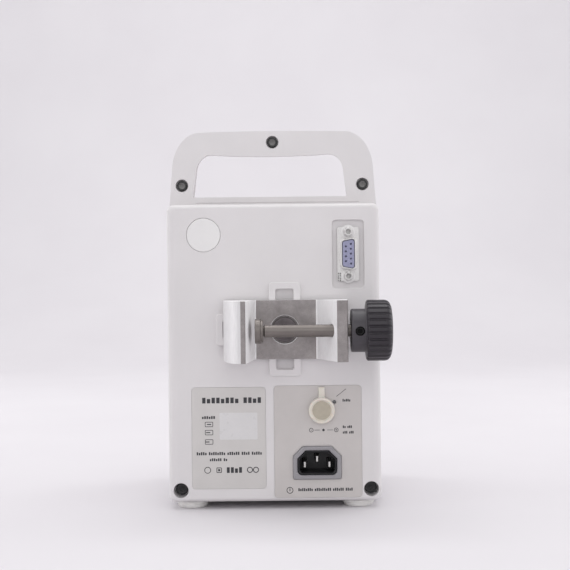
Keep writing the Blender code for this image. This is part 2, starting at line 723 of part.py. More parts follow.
def front_shell():
    """Front shell with the front half of the handle, hinge lugs and screw bosses."""
    back_y = SPLIT_Y - GAP
    bm = bmesh.new()
    add_prism(bm, "Y", FRONT_Y, back_y, housing_outline(0.0))
    bevel_where(bm, FRONT_EDGE, 2, lambda point: close_to(point.y, FRONT_Y))
    part = make_part("front_shell", bm, WHITE_ABS)
    combine(part, "UNION", handle_half(HANDLE_FRONT_Y, back_y, HANDLE_FRONT_Y))
    bm = bmesh.new()
    lug = box_outline(*LUG_X, HINGE_Y - HINGE_CLEARANCE, FRONT_Y + LUG_ROOT, LUG_CORNER)
    for low_z, high_z in lug_heights():
        add_prism(bm, "Z", low_z, high_z, lug)
    combine(part, "UNION", bm)
    bm = bmesh.new()
    add_prism(bm, "Y", FRONT_Y + WALL, back_y + OVERCUT, housing_outline(WALL))
    combine(part, "DIFFERENCE", bm)
    bm = bmesh.new()
    for centre in PANEL_SCREWS.values():
        low_y, high_y = SCREW_END_Y - FRONT_BOSS_DEPTH, back_y - FRONT_BOSS_RECESS
        add_drill(bm, centre, low_y, high_y, PANEL_BOSS_RADIUS, CIRCLE_SEGMENTS)
    combine(part, "UNION", bm)
    bm = shell_screw_holes(SCREW_END_Y - BLIND_HOLE_DEPTH, back_y + OVERCUT)
    add_front_openings(bm)
    combine(part, "DIFFERENCE", bm)


def add_front_openings(bm):
    """Openings in the front wall for the electronics and the fingers, and the hinge pin's bores."""
    low_y, high_y = FRONT_Y - OVERCUT, FRONT_Y + WALL + OVERCUT
    add_prism(bm, "Y", low_y, high_y, box_outline(*BOARD_WINDOW))
    reach = FINGERS * FINGER_PITCH / 2.0
    half = FINGER_WIDTH / 2.0 + GAP
    sides = (CAM_X - half, CAM_X + half, FINGER_MIDDLE_Z - reach, FINGER_MIDDLE_Z + reach)
    add_prism(bm, "Y", low_y, high_y, box_outline(*sides, FINGER_WINDOW_CORNER, 1))
    (low_z, low_top), (high_bottom, high_z) = lug_heights()
    radius = HINGE_PIN_RADIUS + GAP
    for ends in ((low_z + LUG_FLOOR, low_top + OVERCUT), (high_bottom - OVERCUT, high_z - LUG_FLOOR)):
        add_turned(bm, "Z", (HINGE_X, HINGE_Y), [(z, radius) for z in ends], PIN_SEGMENTS)


def lug_heights():
    """Heights of the lower and the upper hinge lug."""
    low = (DOOR_Z[0] - LUG_CLEARANCE - LUG_HEIGHT, DOOR_Z[0] - LUG_CLEARANCE)
    high = (DOOR_Z[1] + LUG_CLEARANCE, DOOR_Z[1] + LUG_CLEARANCE + LUG_HEIGHT)
    return low, high


def shell_screw(name, centre, head_y, head_radius):
    """A socket-head screw that holds the two shells together."""
    top_y = head_y + HEAD_HEIGHT
    shank = circle(SCREW_SHANK_RADIUS, SCREW_SEGMENTS, centre)
    head = circle(head_radius, SCREW_SEGMENTS, centre)
    socket = hexagon(SOCKET_APOTHEM, SCREW_SEGMENTS, centre)
    sections = [(SCREW_END_Y, shank), (head_y, shank), (head_y, head), (top_y - HEAD_CHAMFER_HEIGHT, head)]
    sections.append((top_y, circle(head_radius - HEAD_CHAMFER, SCREW_SEGMENTS, centre)))
    sections += [(top_y, socket), (top_y - SOCKET_DEPTH, socket)]
    bm = bmesh.new()
    add_loft(bm, "Y", sections)
    make_part(name, bm, DARK_STEEL)


def shell_screws():
    """Three screws on the handle and two on the rear panel."""
    for place, centre in HANDLE_SCREWS.items():
        head_y = HANDLE_BACK_Y - HANDLE_BORE_DEPTH + GAP
        shell_screw(f"handle_screw_{place}", centre, head_y, HANDLE_HEAD_RADIUS)
    for place, centre in PANEL_SCREWS.items():
        shell_screw(f"panel_screw_{place}", centre, GAP - PANEL_BORE_DEPTH, PANEL_HEAD_RADIUS)


def feet():
    """Four rubber feet under the housing's corners."""
    for depth, y in zip(("rear", "front"), FOOT_Y):
        for side, x in (("left", FOOT_X), ("right", -FOOT_X)):
            bm = bmesh.new()
            edge_z, edge_inset = FOOT_EDGE
            profile = [(0.0, FOOT_RADIUS - FOOT_SOLE_INSET), (edge_z, FOOT_RADIUS - edge_inset)]
            profile.append((BODY_BOTTOM - GAP, FOOT_RADIUS))
            add_turned(bm, "Z", (x, y), profile)
            make_part(f"foot_{depth}_{side}", bm, RUBBER)


# ---------------------------------------------------------------- rear panel

def label(name, sides, holes):
    """A thin film label with its holes."""
    bm = bmesh.new()
    add_prism(bm, "Y", GAP - LABEL_POCKET, LABEL_FACE_Y, box_outline(*sides, LABEL_CORNER))
    part = make_part(name, bm, LABEL_FILM)
    if holes:
        combine(part, "DIFFERENCE", holes)


def inlet_label_holes():
    """Holes in the connector label for the inlet, the jack and the reset button."""
    bm = bmesh.new()
    width, height = INLET_BEZEL
    outline = chamfered_top(width + 2 * GAP, height + 2 * GAP, INLET_CHAMFER, INLET_LABEL_CORNER, INLET)
    half = LABEL_CUTTER_HALF
    add_prism(bm, "Y", -half, half, outline)
    add_drill(bm, JACK, -half, half, JACK_RADIUS + GAP, CIRCLE_SEGMENTS)
    add_drill(bm, RESET, -half, half, RESET_LABEL_RADIUS, HOLE_SEGMENTS)
    return bm


def blanking_plug():
    """Round plug that closes the unused hole at the top of the rear panel."""
    bm = bmesh.new()
    depth, inset = PLUG_FACE_CHAMFER
    profile = [(-WALL, PLUG_RADIUS - PLUG_BACK_CHAMFER), (-WALL + PLUG_BACK_CHAMFER, PLUG_RADIUS)]
    profile += [(-depth, PLUG_RADIUS), (0.0, PLUG_RADIUS - inset)]
    add_turned(bm, "Y", PLUG, profile, WIDE_CIRCLE_SEGMENTS)
    make_part("blanking_plug", bm, PALE_ABS)


def serial_port():
    """Nine-way port: a metal shell with its flange, the insert and two jackscrews."""
    flange_y = GAP - PORT_RECESS_DEPTH
    front_y = flange_y + PORT_FLANGE_THICKNESS
    rim_y = front_y + PORT_RIM_HEIGHT
    outer = connector_outline(*PORT_OUTER, PORT)
    inner = connector_outline(*PORT_INNER, PORT)
    flange = rounded_rectangle(*PORT_FLANGE, PORT_FLANGE_CORNER, PORT)
    sections = [(PORT_BACK_Y, inner), (rim_y, inner), (rim_y, outer), (front_y, outer), (front_y, flange)]
    sections += [(flange_y, flange), (flange_y, outer), (PORT_BACK_Y, outer)]
    bm = bmesh.new()
    add_ring(bm, "Y", sections)
    make_part("serial_port_shell", bm, STEEL)
    width, height = PORT_INNER[0] - 2 * GAP, PORT_INNER[1] - 2 * GAP
    bm = bmesh.new()
    insert = connector_outline(width, height, PORT_TAPER, PORT_INSERT_CORNER, PORT)
    add_prism(bm, "Y", PORT_INSERT_BACK_Y, rim_y - PORT_INSERT_DROP, insert)
    make_part("serial_port_insert", bm, BLUE_PLASTIC)
    for place, sign in (("upper", 1), ("lower", -1)):
        centre = (PORT[0], PORT[1] + sign * PORT_SCREW_SPACING / 2.0)
        jackscrew(f"jackscrew_{place}", centre, front_y)


def jackscrew(name, centre, front_y):
    """Hexagonal jackscrew with its threaded hole."""
    nut = hexagon(JACKSCREW_APOTHEM, SCREW_SEGMENTS, centre)
    hole = circle(JACKSCREW_HOLE_RADIUS, SCREW_SEGMENTS, centre)
    rim_height, rim_radius = JACKSCREW_RIM
    top_y = front_y + JACKSCREW_HEIGHT
    sections = [(front_y + GAP, nut), (top_y - rim_height, nut)]
    sections += [(top_y, circle(rim_radius, SCREW_SEGMENTS, centre)), (top_y, hole)]
    sections.append((front_y + JACKSCREW_FLOOR, hole))
    bm = bmesh.new()
    add_loft(bm, "Y", sections)
    make_part(name, bm, STEEL)


def mains_inlet():
    """Appliance inlet: a grey bezel, the black socket body and its three pins."""
    width, height = INLET_BODY
    outer = chamfered_top(*INLET_BEZEL, INLET_CHAMFER, INLET_CORNER, INLET)
    body = chamfered_top(width, height, INLET_BODY_CHAMFER, INLET_BODY_CORNER, INLET)
    extra = INLET_OPENING_EXTRA
    opening = chamfered_top(
        width + 2 * GAP, height + 2 * GAP, INLET_BODY_CHAMFER + extra, INLET_BODY_CORNER + extra, INLET
    )
    bm = bmesh.new()
    add_frame(bm, "Y", LABEL_FACE_Y - INLET_RECESS, INLET_FACE_Y, outer, opening)
    bevel_where(bm, INLET_FACE_EDGE, 2, lambda point: close_to(point.y, INLET_FACE_Y))
    make_part("mains_inlet_bezel", bm, GREY_PLASTIC)
    cavity = chamfered_top(
        width - 2 * INLET_WALL, height - 2 * INLET_WALL, INLET_CAVITY_CHAMFER, INLET_CAVITY_CORNER, INLET
    )
    bm = bmesh.new()
    sections = [(INLET_FLOOR - INLET_DEPTH, cavity), (INLET_BODY_FACE_Y, cavity)]
    sections += [(INLET_BODY_FACE_Y, body), (-INLET_DEPTH, body)]
    add_loft(bm, "Y", sections)
    part = make_part("mains_inlet_body", bm, BLACK_PLASTIC)
    pins = {"live": (-PIN_SPREAD, -PIN_RISE), "neutral": (PIN_SPREAD, -PIN_RISE), "earth": (0.0, PIN_RISE)}
    centres = {name: (INLET[0] + across, INLET[1] + up) for name, (across, up) in pins.items()}
    width, height = PIN_SIZE
    bm = bmesh.new()
    for centre in centres.values():
        pin_slot = rounded_rectangle(width + 2 * GAP, height + 2 * GAP, PIN_SLOT_CORNER, centre, 1)
        add_prism(bm, "Y", -INLET_DEPTH - OVERCUT, INLET_FLOOR + OVERCUT - INLET_DEPTH, pin_slot)
    combine(part, "DIFFERENCE", bm)
    for name, centre in centres.items():
        blade = rounded_rectangle(*PIN_SIZE, PIN_CORNER, centre, 1)
        tip = rounded_rectangle(*PIN_TIP, PIN_CORNER, centre, 1)
        shoulder_y, tip_y = PIN_TIP_Y
        bm = bmesh.new()
        add_loft(bm, "Y", [(-INLET_DEPTH - PIN_TAIL, blade), (shoulder_y, blade), (tip_y, tip)])
        make_part(f"mains_pin_{name}", bm, STEEL)


def dc_jack():
    """Low-voltage jack with its centre pin."""
    flange_y = -WALL - GAP
    bore_y, bore_radius = JACK_BORE
    pin_y, pin_radius = JACK_PIN
    profile = [(pin_y, pin_radius), (bore_y, pin_radius), (bore_y, bore_radius), (JACK_FACE_Y, bore_radius)]
    profile += [(JACK_FACE_Y, JACK_RADIUS), (flange_y, JACK_RADIUS)]
    profile += [(flange_y, JACK_BODY_RADIUS), (JACK_BACK_Y, JACK_BODY_RADIUS)]
    bm = bmesh.new()
    add_turned(bm, "Y", JACK, profile)
    make_part("dc_jack", bm, BLACK_PLASTIC)


def dc_cap():
    """Silicone cap over the low-voltage jack, which hinges at the root of its strap."""
    back_y, side_y = CAP_BACK_Y
    shoulder_y, face_y = CAP_FACE_Y
    dish_y, dish_inset = CAP_DISH
    profile = [(back_y, CAP_RADIUS - CAP_EDGE), (side_y, CAP_RADIUS), (shoulder_y, CAP_RADIUS)]
    profile += [(face_y, CAP_RADIUS - CAP_EDGE), (face_y, CAP_RADIUS - CAP_RIM)]
    profile.append((dish_y, CAP_RADIUS - dish_inset))
    bm = bmesh.new()
    add_turned(bm, "Y", JACK, profile, WIDE_CIRCLE_SEGMENTS)
    part = make_part("dc_cap", bm, SILICONE, (JACK[0], *CAP_PIVOT))
    strap_y, strap_z = CAP_PIVOT
    half = STRAP_HALF_THICKNESS
    outline = arc((strap_y, strap_z), (half, half), 0.0, 180.0, STRAP_STEPS)
    outline += [(strap_y - half, JACK[1] + STRAP_ROOT), (strap_y + half, JACK[1] + STRAP_ROOT)]
    bm = bmesh.new()
    add_prism(bm, "X", JACK[0] - STRAP_HALF_WIDTH, JACK[0] + STRAP_HALF_WIDTH, outline)
    combine(part, "UNION", bm)


def reset_button():
    """Small sprung plunger behind its pinhole."""
    bm = bmesh.new()
    back_y, flange_radius = RESET_FLANGE
    tip_y, stem_radius = RESET_STEM
    profile = [(back_y, flange_radius), (-WALL - GAP, flange_radius)]
    profile += [(-WALL - GAP, stem_radius), (tip_y, stem_radius)]
    add_turned(bm, "Y", RESET, profile, HOLE_SEGMENTS)
    make_part("reset_button", bm, GREY_PLASTIC)


# ---------------------------------------------------------------- pole clamp

def clamp_outline():
    """The clamp's C seen from above, from the left jaw's heel round the web to the right jaw."""
    outer_x, inner_x = LEFT_JAW_TIP_X
    end_angle, steps = LEFT_JAW_CURVE
    radii = (LEFT_JAW_HEEL_X - outer_x, LEFT_JAW_TIP_Y - CLAMP_BACK_Y)
    outline = arc((outer_x, CLAMP_BACK_Y), radii, 0.0, end_angle, steps)
    outline += [(outer_x, LEFT_JAW_TIP_Y), (inner_x, LEFT_JAW_TIP_Y)]
    outline += [(x, WEB_FACE_Y) for x in WEB_X]
    outline += [(x, RIGHT_JAW_TIP_Y) for x in RIGHT_JAW_TIP_X]
    return outline + [(RIGHT_JAW_HEEL_X, CLAMP_BACK_Y)]


def clamp_bracket():
    """Extruded aluminium bracket: web, two jaws, bolt counterbore and screw hole."""
    bm = bmesh.new()
    add_prism(bm, "Z", CLAMP_Z - CLAMP_HALF_HEIGHT, CLAMP_Z + CLAMP_HALF_HEIGHT, clamp_outline())
    part = make_part("clamp_bracket", bm, ALUMINIUM)
    floor_y = WEB_FACE_Y - COUNTERBORE_DEPTH
    profile = [(0.0, BOLT_HOLE_RADIUS), (floor_y, BOLT_HOLE_RADIUS), (floor_y, COUNTERBORE_RADIUS)]
    profile.append((WEB_FACE_Y + OVERCUT, COUNTERBORE_RADIUS))
    bm = bmesh.new()
    add_turned(bm, "Y", (CLAMP_X, CLAMP_Z), profile, WIDE_CIRCLE_SEGMENTS)
    add_turned(bm, "X", (ROD_Y, CLAMP_Z), [(x, ROD_RADIUS + GAP) for x in ROD_HOLE_X])
    combine(part, "DIFFERENCE", bm)


def clamp_bolt():
    """Socket-head bolt that holds the clamp to the rear shell, free to be refitted a quarter turn round."""
    centre = (CLAMP_X, CLAMP_Z)
    head_y = WEB_FACE_Y - COUNTERBORE_DEPTH + GAP
    top_y = head_y + BOLT_HEAD_HEIGHT
    chamfer_height, chamfer = BOLT_CHAMFER
    apothem, socket_depth = BOLT_SOCKET
    shank = circle(BOLT_SHANK_RADIUS, CIRCLE_SEGMENTS, centre)
    head = circle(BOLT_HEAD_RADIUS, CIRCLE_SEGMENTS, centre)
    socket = hexagon(apothem, CIRCLE_SEGMENTS, centre)
    sections = [(BOLT_END_Y, shank), (head_y, shank), (head_y, head), (top_y - chamfer_height, head)]
    sections.append((top_y, circle(BOLT_HEAD_RADIUS - chamfer, CIRCLE_SEGMENTS, centre)))
    sections += [(top_y, socket), (top_y - socket_depth, socket)]
    bm = bmesh.new()
    add_loft(bm, "Y", sections)
    make_part("clamp_bolt", bm, STEEL)


def clamp_screw():
    """The clamping screw: rod, pressure pad, ribbed knob and the knob's grub screw."""
    centre = (ROD_Y, CLAMP_Z)
    pivot = (0.0, *centre)
    neck_x = PAD_BACK_X - ROD_NECK_LENGTH
    end_radius, neck_radius = ROD_NECK_RADII
    profile = [(ROD_INNER_X, end_radius), (neck_x, neck_radius)]
    profile += [(neck_x, ROD_RADIUS), (ROD_OUTER_X, ROD_RADIUS)]
    bm = bmesh.new()
    add_turned(bm, "X", centre, profile)
    make_part("clamp_rod", bm, STEEL, pivot)
    profile = [(ROD_INNER_X + GAP, PAD_BORE_RADIUS), (PAD_BACK_X, PAD_BORE_RADIUS)]
    profile += [(PAD_BACK_X, PAD_BACK_RADIUS), (PAD_BACK_X + PAD_EDGE, PAD_RADIUS)]
    profile.append((PAD_FACE_X - PAD_EDGE, PAD_RADIUS))
    profile.append((PAD_FACE_X, PAD_RADIUS - PAD_EDGE))
    bm = bmesh.new()
    add_turned(bm, "X", centre, profile)
    make_part("clamp_pad", bm, STEEL, pivot)
    clamp_knob(centre, pivot)
    knob_grub_screw(pivot)


def clamp_knob(centre, pivot):
    """Ribbed knob with a smooth hub, bored for the rod and for its grub screw."""
    sections = []
    for inward, shrink, depth in KNOB_GRIP:
        grip = ribbed_circle(KNOB_RADIUS - shrink, KNOB_RIB_DEPTH * depth)
        sections.append((KNOB_STEP_X - inward, shifted(grip, centre)))
    face = circle(KNOB_FACE_RADIUS, len(KNOB_RIB_SHAPE) * KNOB_RIBS, centre)
    sections.append((KNOB_OUTER_X, face))
    bm = bmesh.new()
    add_loft(bm, "X", sections)
    part = make_part("clamp_knob", bm, BLACK_PLASTIC, pivot)
    edge_x = KNOB_INNER_X - KNOB_HUB_EDGE
    profile = [(KNOB_STEP_X - KNOB_HUB_ROOT, KNOB_HUB_RADIUS), (edge_x, KNOB_HUB_RADIUS)]
    profile.append((KNOB_INNER_X, KNOB_HUB_RADIUS - KNOB_HUB_EDGE))
    bm = bmesh.new()
    add_turned(bm, "X", centre, profile, WIDE_CIRCLE_SEGMENTS)
    combine(part, "UNION", bm)
    ends = (ROD_OUTER_X - GAP, KNOB_INNER_X + KNOB_BORE_OPENING)
    bm = bmesh.new()
    add_turned(bm, "X", centre, [(x, ROD_RADIUS + GAP) for x in ends])
    combine(part, "DIFFERENCE", bm)
    low, radius = GRUB_BORE
    bm = bmesh.new()
    add_drill(bm, (GRUB_X, CLAMP_Z), ROD_Y + low, ROD_Y + KNOB_HUB_RADIUS + OVERCUT, radius, PIN_SEGMENTS)
    combine(part, "DIFFERENCE", bm)


def knob_grub_screw(pivot):
    """Socket grub screw that fixes the knob to the rod."""
    centre = (GRUB_X, CLAMP_Z)
    low_y = ROD_Y + ROD_RADIUS + GAP
    top_y = ROD_Y + KNOB_HUB_RADIUS - GRUB_DEPTH
    point_radius, point_height = GRUB_POINT
    apothem, socket_depth = GRUB_SOCKET
    side = circle(GRUB_RADIUS, SCREW_SEGMENTS, centre)
    socket = hexagon(apothem, SCREW_SEGMENTS, centre)
    sections = [(low_y, circle(point_radius, SCREW_SEGMENTS, centre)), (low_y + point_height, side)]
    sections += [(top_y, side), (top_y, socket), (top_y - socket_depth, socket)]
    bm = bmesh.new()
    add_loft(bm, "Y", sections)
    make_part("knob_grub_screw", bm, DARK_STEEL, pivot)


# ---------------------------------------------------------------- front

def control_bezel():
    """Front bezel with the display's and the keys' openings and the speaker grille."""
    outline = box_outline(-HALF_WIDTH, BEZEL_EDGE_X, BODY_BOTTOM, BODY_TOP, BODY_CORNER)
    bm = bmesh.new()
    add_prism(bm, "Y", BEZEL_FRONT_Y, FRONT_Y - GAP, outline)
    bevel_where(bm, BEZEL_EDGE, EDGE_STEPS, lambda point: close_to(point.y, BEZEL_FRONT_Y))
    part = make_part("control_bezel", bm, WHITE_ABS)
    sides = (WALL - HALF_WIDTH, BEZEL_EDGE_X - WALL, BODY_BOTTOM + WALL, BODY_TOP - WALL)
    bm = bmesh.new()
    add_prism(bm, "Y", BEZEL_FRONT_Y + WALL, FRONT_Y + OVERCUT, box_outline(*sides, BEZEL_INNER_CORNER))
    combine(part, "DIFFERENCE", bm)
    low_y, high_y = BEZEL_FRONT_Y - OVERCUT, BEZEL_FRONT_Y + WALL + OVERCUT
    x, z, width, height = DISPLAY
    bm = bmesh.new()
    add_prism(bm, "Y", low_y, high_y, rounded_rectangle(width, height, DISPLAY_CORNER, (x, z)))
    for centre in key_places():
        add_prism(bm, "Y", low_y, high_y, rounded_rectangle(*KEY_SIZE, KEY_CORNER, centre))
    for slot in range(GRILLE_SLOTS):
        slot_z = GRILLE_BOTTOM + GRILLE_PITCH * slot
        add_prism(bm, "Y", low_y, high_y, rounded_rectangle(*GRILLE_SLOT, (x, slot_z)))
    combine(part, "DIFFERENCE", bm)


def key_places():
    """Centres of the keys, row by row."""
    return [(x, z) for z in KEY_ROWS for x in KEY_COLUMNS]


def display_window():
    """Clear window over the display."""
    x, z, width, height = DISPLAY
    front, back = PANE_DEPTH
    outline = rounded_rectangle(width - 2 * GAP, height - 2 * GAP, PANE_CORNER, (x, z))
    bm = bmesh.new()
    add_prism(bm, "Y", BEZEL_FRONT_Y + front, BEZEL_FRONT_Y + back, outline)
    make_part("display_window", bm, GLASS)


def keys():
    """Six keys, each with a flange that holds it behind the bezel."""
    names = ("key_start", "key_stop", "key_purge", "key_down", "key_up", "key_menu")
    width, height = (size - 2 * KEY_CLEARANCE for size in KEY_SIZE)
    inset = KEY_FACE_INSET
    margin, thickness = KEY_FLANGE
    back_y = BEZEL_FRONT_Y + WALL + GAP
    for name, centre in zip(names, key_places()):
        face = rounded_rectangle(width - 2 * inset, height - 2 * inset, KEY_FACE_CORNER, centre)
        side = rounded_rectangle(width, height, KEY_SIDE_CORNER, centre)
        flange_size = [size + 2 * margin for size in KEY_SIZE]
        flange = rounded_rectangle(*flange_size, KEY_SIDE_CORNER, centre)
        sections = [(KEY_FACE_Y, face), (KEY_FACE_Y + inset, side), (back_y, side), (back_y, flange)]
        sections.append((back_y + thickness, flange))
        bm = bmesh.new()
        add_loft(bm, "Y", sections)
        make_part(name, bm, KEY_GREY, (centre[0], BEZEL_FRONT_Y, centre[1]))


def door():
    """Tray-shaped door with its hinge bore, latch recess and two notches for the tube."""
    low_z, high_z = DOOR_Z
    bm = bmesh.new()
    add_prism(bm, "Y", BEZEL_FRONT_Y, DOOR_BACK_Y, box_outline(*DOOR_X, *DOOR_Z, DOOR_CORNER))
    bevel_where(bm, DOOR_FACE_EDGE, EDGE_STEPS, lambda point: close_to(point.y, BEZEL_FRONT_Y))
    side_x = DOOR_X[1] - DOOR_CORNER - SAME_PLACE
    bevel_where(bm, *DOOR_BACK_EDGE, lambda point: close_to(point.y, DOOR_BACK_Y) and point.x >= side_x)
    part = make_part("door", bm, WHITE_ABS, (HINGE_X, HINGE_Y, 0.0))
    sides = (DOOR_X[0] + DOOR_WALL, HINGE_X - HINGE_CLEARANCE, low_z + DOOR_WALL, high_z - DOOR_WALL)
    tray_y = BEZEL_FRONT_Y + DOOR_WALL + LATCH_RECESS
    bm = bmesh.new()
    add_prism(bm, "Y", tray_y, DOOR_BACK_Y + OVERCUT, box_outline(*sides, DOOR_INNER_CORNER))
    combine(part, "DIFFERENCE", bm)
    spread = LATCH_CLEARANCE
    sides = (LATCH_X[0] - spread, LATCH_X[1] + spread, LATCH_Z[0] - spread, LATCH_Z[1] + spread)
    bm = bmesh.new()
    recess = box_outline(*sides, LATCH_CORNER)
    add_prism(bm, "Y", BEZEL_FRONT_Y - OVERCUT, BEZEL_FRONT_Y + LATCH_RECESS, recess)
    ends = (low_z - OVERCUT, high_z + OVERCUT)
    add_turned(bm, "Z", (HINGE_X, HINGE_Y), [(z, HINGE_PIN_RADIUS + GAP) for z in ends], PIN_SEGMENTS)
    half, length, deep_y, corner = TUBE_NOTCH
    notch = box_outline(TUBE_X - half, TUBE_X + half, deep_y, DOOR_BACK_Y + 2 * OVERCUT, corner)
    add_prism(bm, "Z", low_z - OVERCUT, low_z + length, notch)
    add_prism(bm, "Z", high_z - length, high_z + OVERCUT, notch)
    combine(part, "DIFFERENCE", bm)


def door_hinge_pin():
    """Long hinge pin through the door and both lugs."""
    (low_z, _), (_, high_z) = lug_heights()
    ends = [(low_z + PIN_INSET, HINGE_PIN_RADIUS), (high_z - PIN_INSET, HINGE_PIN_RADIUS)]
    bm = bmesh.new()
    add_turned(bm, "Z", (HINGE_X, HINGE_Y), ends, PIN_SEGMENTS)
    make_part("door_hinge_pin", bm, STEEL)


def latch_lever():
    """Door lever: a thin paddle in its recess that swings out round its inner edge."""
    axis_x, axis_y = LATCH_AXIS
    tip_x = LATCH_X[0]
    length, thickness = LATCH_TAPER
    outline = arc((axis_x, axis_y), (LATCH_RADIUS, LATCH_RADIUS), -90.0, 90.0, LATCH_STEPS)
    outline += [(tip_x + length, axis_y + LATCH_RADIUS), (tip_x, axis_y + thickness)]
    outline.append((tip_x, axis_y - LATCH_RADIUS))
    bm = bmesh.new()
    add_prism(bm, "Z", *LATCH_Z, outline)
    make_part("latch_lever", bm, KEY_GREY, (axis_x, axis_y, 0.0))


def door_platen():
    """Sprung pressure plate that backs the tube opposite the fingers."""
    width, height = PLATEN_SIZE
    centre = (CAM_X, FINGER_MIDDLE_Z)
    sections = []
    for y, inset, corner in PLATEN_SECTIONS:
        sections.append((y, rounded_rectangle(width - inset, height - inset, corner, centre)))
    bm = bmesh.new()
    add_loft(bm, "Y", sections)
    make_part("door_platen", bm, STEEL)


def bubble_sensor():
    """Air-in-line sensor: a small block with a slot that takes the tube."""
    half, slot = SENSOR_HALF_WIDTH, SENSOR_SLOT_HALF
    back_y, front_y, floor_y = FRONT_Y - GAP, FRONT_Y - SENSOR_DEPTH, FRONT_Y - SENSOR_FLOOR
    outline = [(TUBE_X - half, back_y), (TUBE_X - half, front_y), (TUBE_X - slot, front_y)]
    outline += [(TUBE_X - slot, floor_y), (TUBE_X + slot, floor_y), (TUBE_X + slot, front_y)]
    outline += [(TUBE_X + half, front_y), (TUBE_X + half, back_y)]
    bm = bmesh.new()
    add_prism(bm, "Z", *SENSOR_Z, outline)
    make_part("bubble_sensor", bm, BLACK_PLASTIC)


# ---------------------------------------------------------------- mechanism

def finger_phase(index):
    """Angle of a finger's cam, spread evenly round the shaft."""
    return 2.0 * math.pi * index / FINGERS


def finger_height(index):
    """Middle of a finger above the ground."""
    return FINGER_MIDDLE_Z + (index - (FINGERS - 1) / 2.0) * FINGER_PITCH


def mechanism_frame():
    """Folded frame with two bearing plates and the motor shelf."""
    back_y, low_y = FRAME_Y
    shelf_y = SHELF_FRONT_Y
    plate = FRAME_PLATE
    shelf_z = MOTOR_Z[0] - GAP - plate
    inner_y, upper_z, lower_z = back_y - plate, FRAME_TOP_Z - plate, FRAME_BOTTOM_Z + plate
    outline = [(back_y, FRAME_BOTTOM_Z), (back_y, FRAME_TOP_Z), (low_y, FRAME_TOP_Z), (low_y, upper_z)]
    outline += [(inner_y, upper_z), (inner_y, shelf_z + plate), (shelf_y, shelf_z + plate)]
    outline += [(shelf_y, shelf_z), (inner_y, shelf_z), (inner_y, lower_z)]
    outline += [(low_y, lower_z), (low_y, FRAME_BOTTOM_Z)]
    bm = bmesh.new()
    add_prism(bm, "X", CAM_X - FRAME_HALF_WIDTH, CAM_X + FRAME_HALF_WIDTH, outline)
    part = make_part("mechanism_frame", bm, STEEL)
    bm = bmesh.new()
    holes = [(CAM_Y, FRAME_BOTTOM_Z, SHAFT_RADIUS + GAP), (CAM_Y, FRAME_TOP_Z - plate, SHAFT_RADIUS + GAP)]
    for y, z, radius in holes + [(motor_y(), shelf_z, SHELF_HOLE_RADIUS)]:
        add_turned(bm, "Z", (CAM_X, y), [(z - OVERCUT, radius), (z + plate + OVERCUT, radius)])
    combine(part, "DIFFERENCE", bm)


def motor_y():
    """The motor's axis, one centre distance behind the camshaft."""
    return CAM_Y + GEAR_MODULE * (GEAR_TEETH + PINION_TEETH) / 2.0 + GAP


def camshaft():
    """Shaft with one eccentric cam for each finger."""
    bm = bmesh.new()
    shaft = circle(SHAFT_RADIUS, SCREW_SEGMENTS, (CAM_X, CAM_Y))
    sections = [(FRAME_BOTTOM_Z - SHAFT_ENDS, shaft)]
    for index in range(FINGERS):
        phase = finger_phase(index)
        centre = (CAM_X + CAM_THROW * math.sin(phase), CAM_Y - CAM_THROW * math.cos(phase))
        cam = circle(CAM_RADIUS, SCREW_SEGMENTS, centre)
        low_z, high_z = finger_height(index) - CAM_HALF_THICKNESS, finger_height(index) + CAM_HALF_THICKNESS
        sections += [(low_z, shaft), (low_z, cam), (high_z, cam), (high_z, shaft)]
    sections.append((FRAME_TOP_Z + SHAFT_ENDS, shaft))
    add_loft(bm, "Z", sections)
    make_part("camshaft", bm, STEEL, (CAM_X, CAM_Y, 0.0))


def gears():
    """Cam gear on the camshaft, and the motor's pinion with its shaft."""
    centre = (CAM_X, CAM_Y)
    bm = bmesh.new()
    outline = gear_outline(GEAR_TEETH, centre, 90.0)
    add_prism(bm, "Z", *GEAR_Z, outline)
    part = make_part("cam_gear", bm, NYLON, (*centre, 0.0))
    bm = bmesh.new()
    ends = (GEAR_Z[0] - OVERCUT, GEAR_Z[1] + OVERCUT)
    add_turned(bm, "Z", centre, [(z, SHAFT_RADIUS + GAP) for z in ends], SCREW_SEGMENTS)
    combine(part, "DIFFERENCE", bm)
    centre = (CAM_X, motor_y())
    bm = bmesh.new()
    outline = gear_outline(PINION_TEETH, centre, -90.0 + 180.0 / PINION_TEETH)
    shaft = circle(MOTOR_SHAFT_RADIUS, len(outline), centre)
    below, above = PINION_SHAFT_ENDS
    sections = [(GEAR_Z[0] - below, shaft), (GEAR_Z[0], shaft), (GEAR_Z[0], outline), (GEAR_Z[1], outline)]
    sections += [(GEAR_Z[1], shaft), (MOTOR_Z[0] + above, shaft)]
    add_loft(bm, "Z", sections)
    make_part("motor_pinion", bm, STEEL, (*centre, 0.0))


def motor():
    """Stepping motor on the frame's shelf."""
    centre = (CAM_X, motor_y())
    radius, steps = MOTOR_CORNER
    body = rounded_rectangle(MOTOR_SIDE, MOTOR_SIDE, radius, centre, steps)
    bore = circle(MOTOR_SHAFT_RADIUS + GAP, len(body), centre)
    low, high = MOTOR_Z
    bm = bmesh.new()
    add_loft(bm, "Z", [(low + MOTOR_BORE_DEPTH, bore), (low, bore), (low, body), (high, body)])
    make_part("motor", bm, DARK_STEEL)


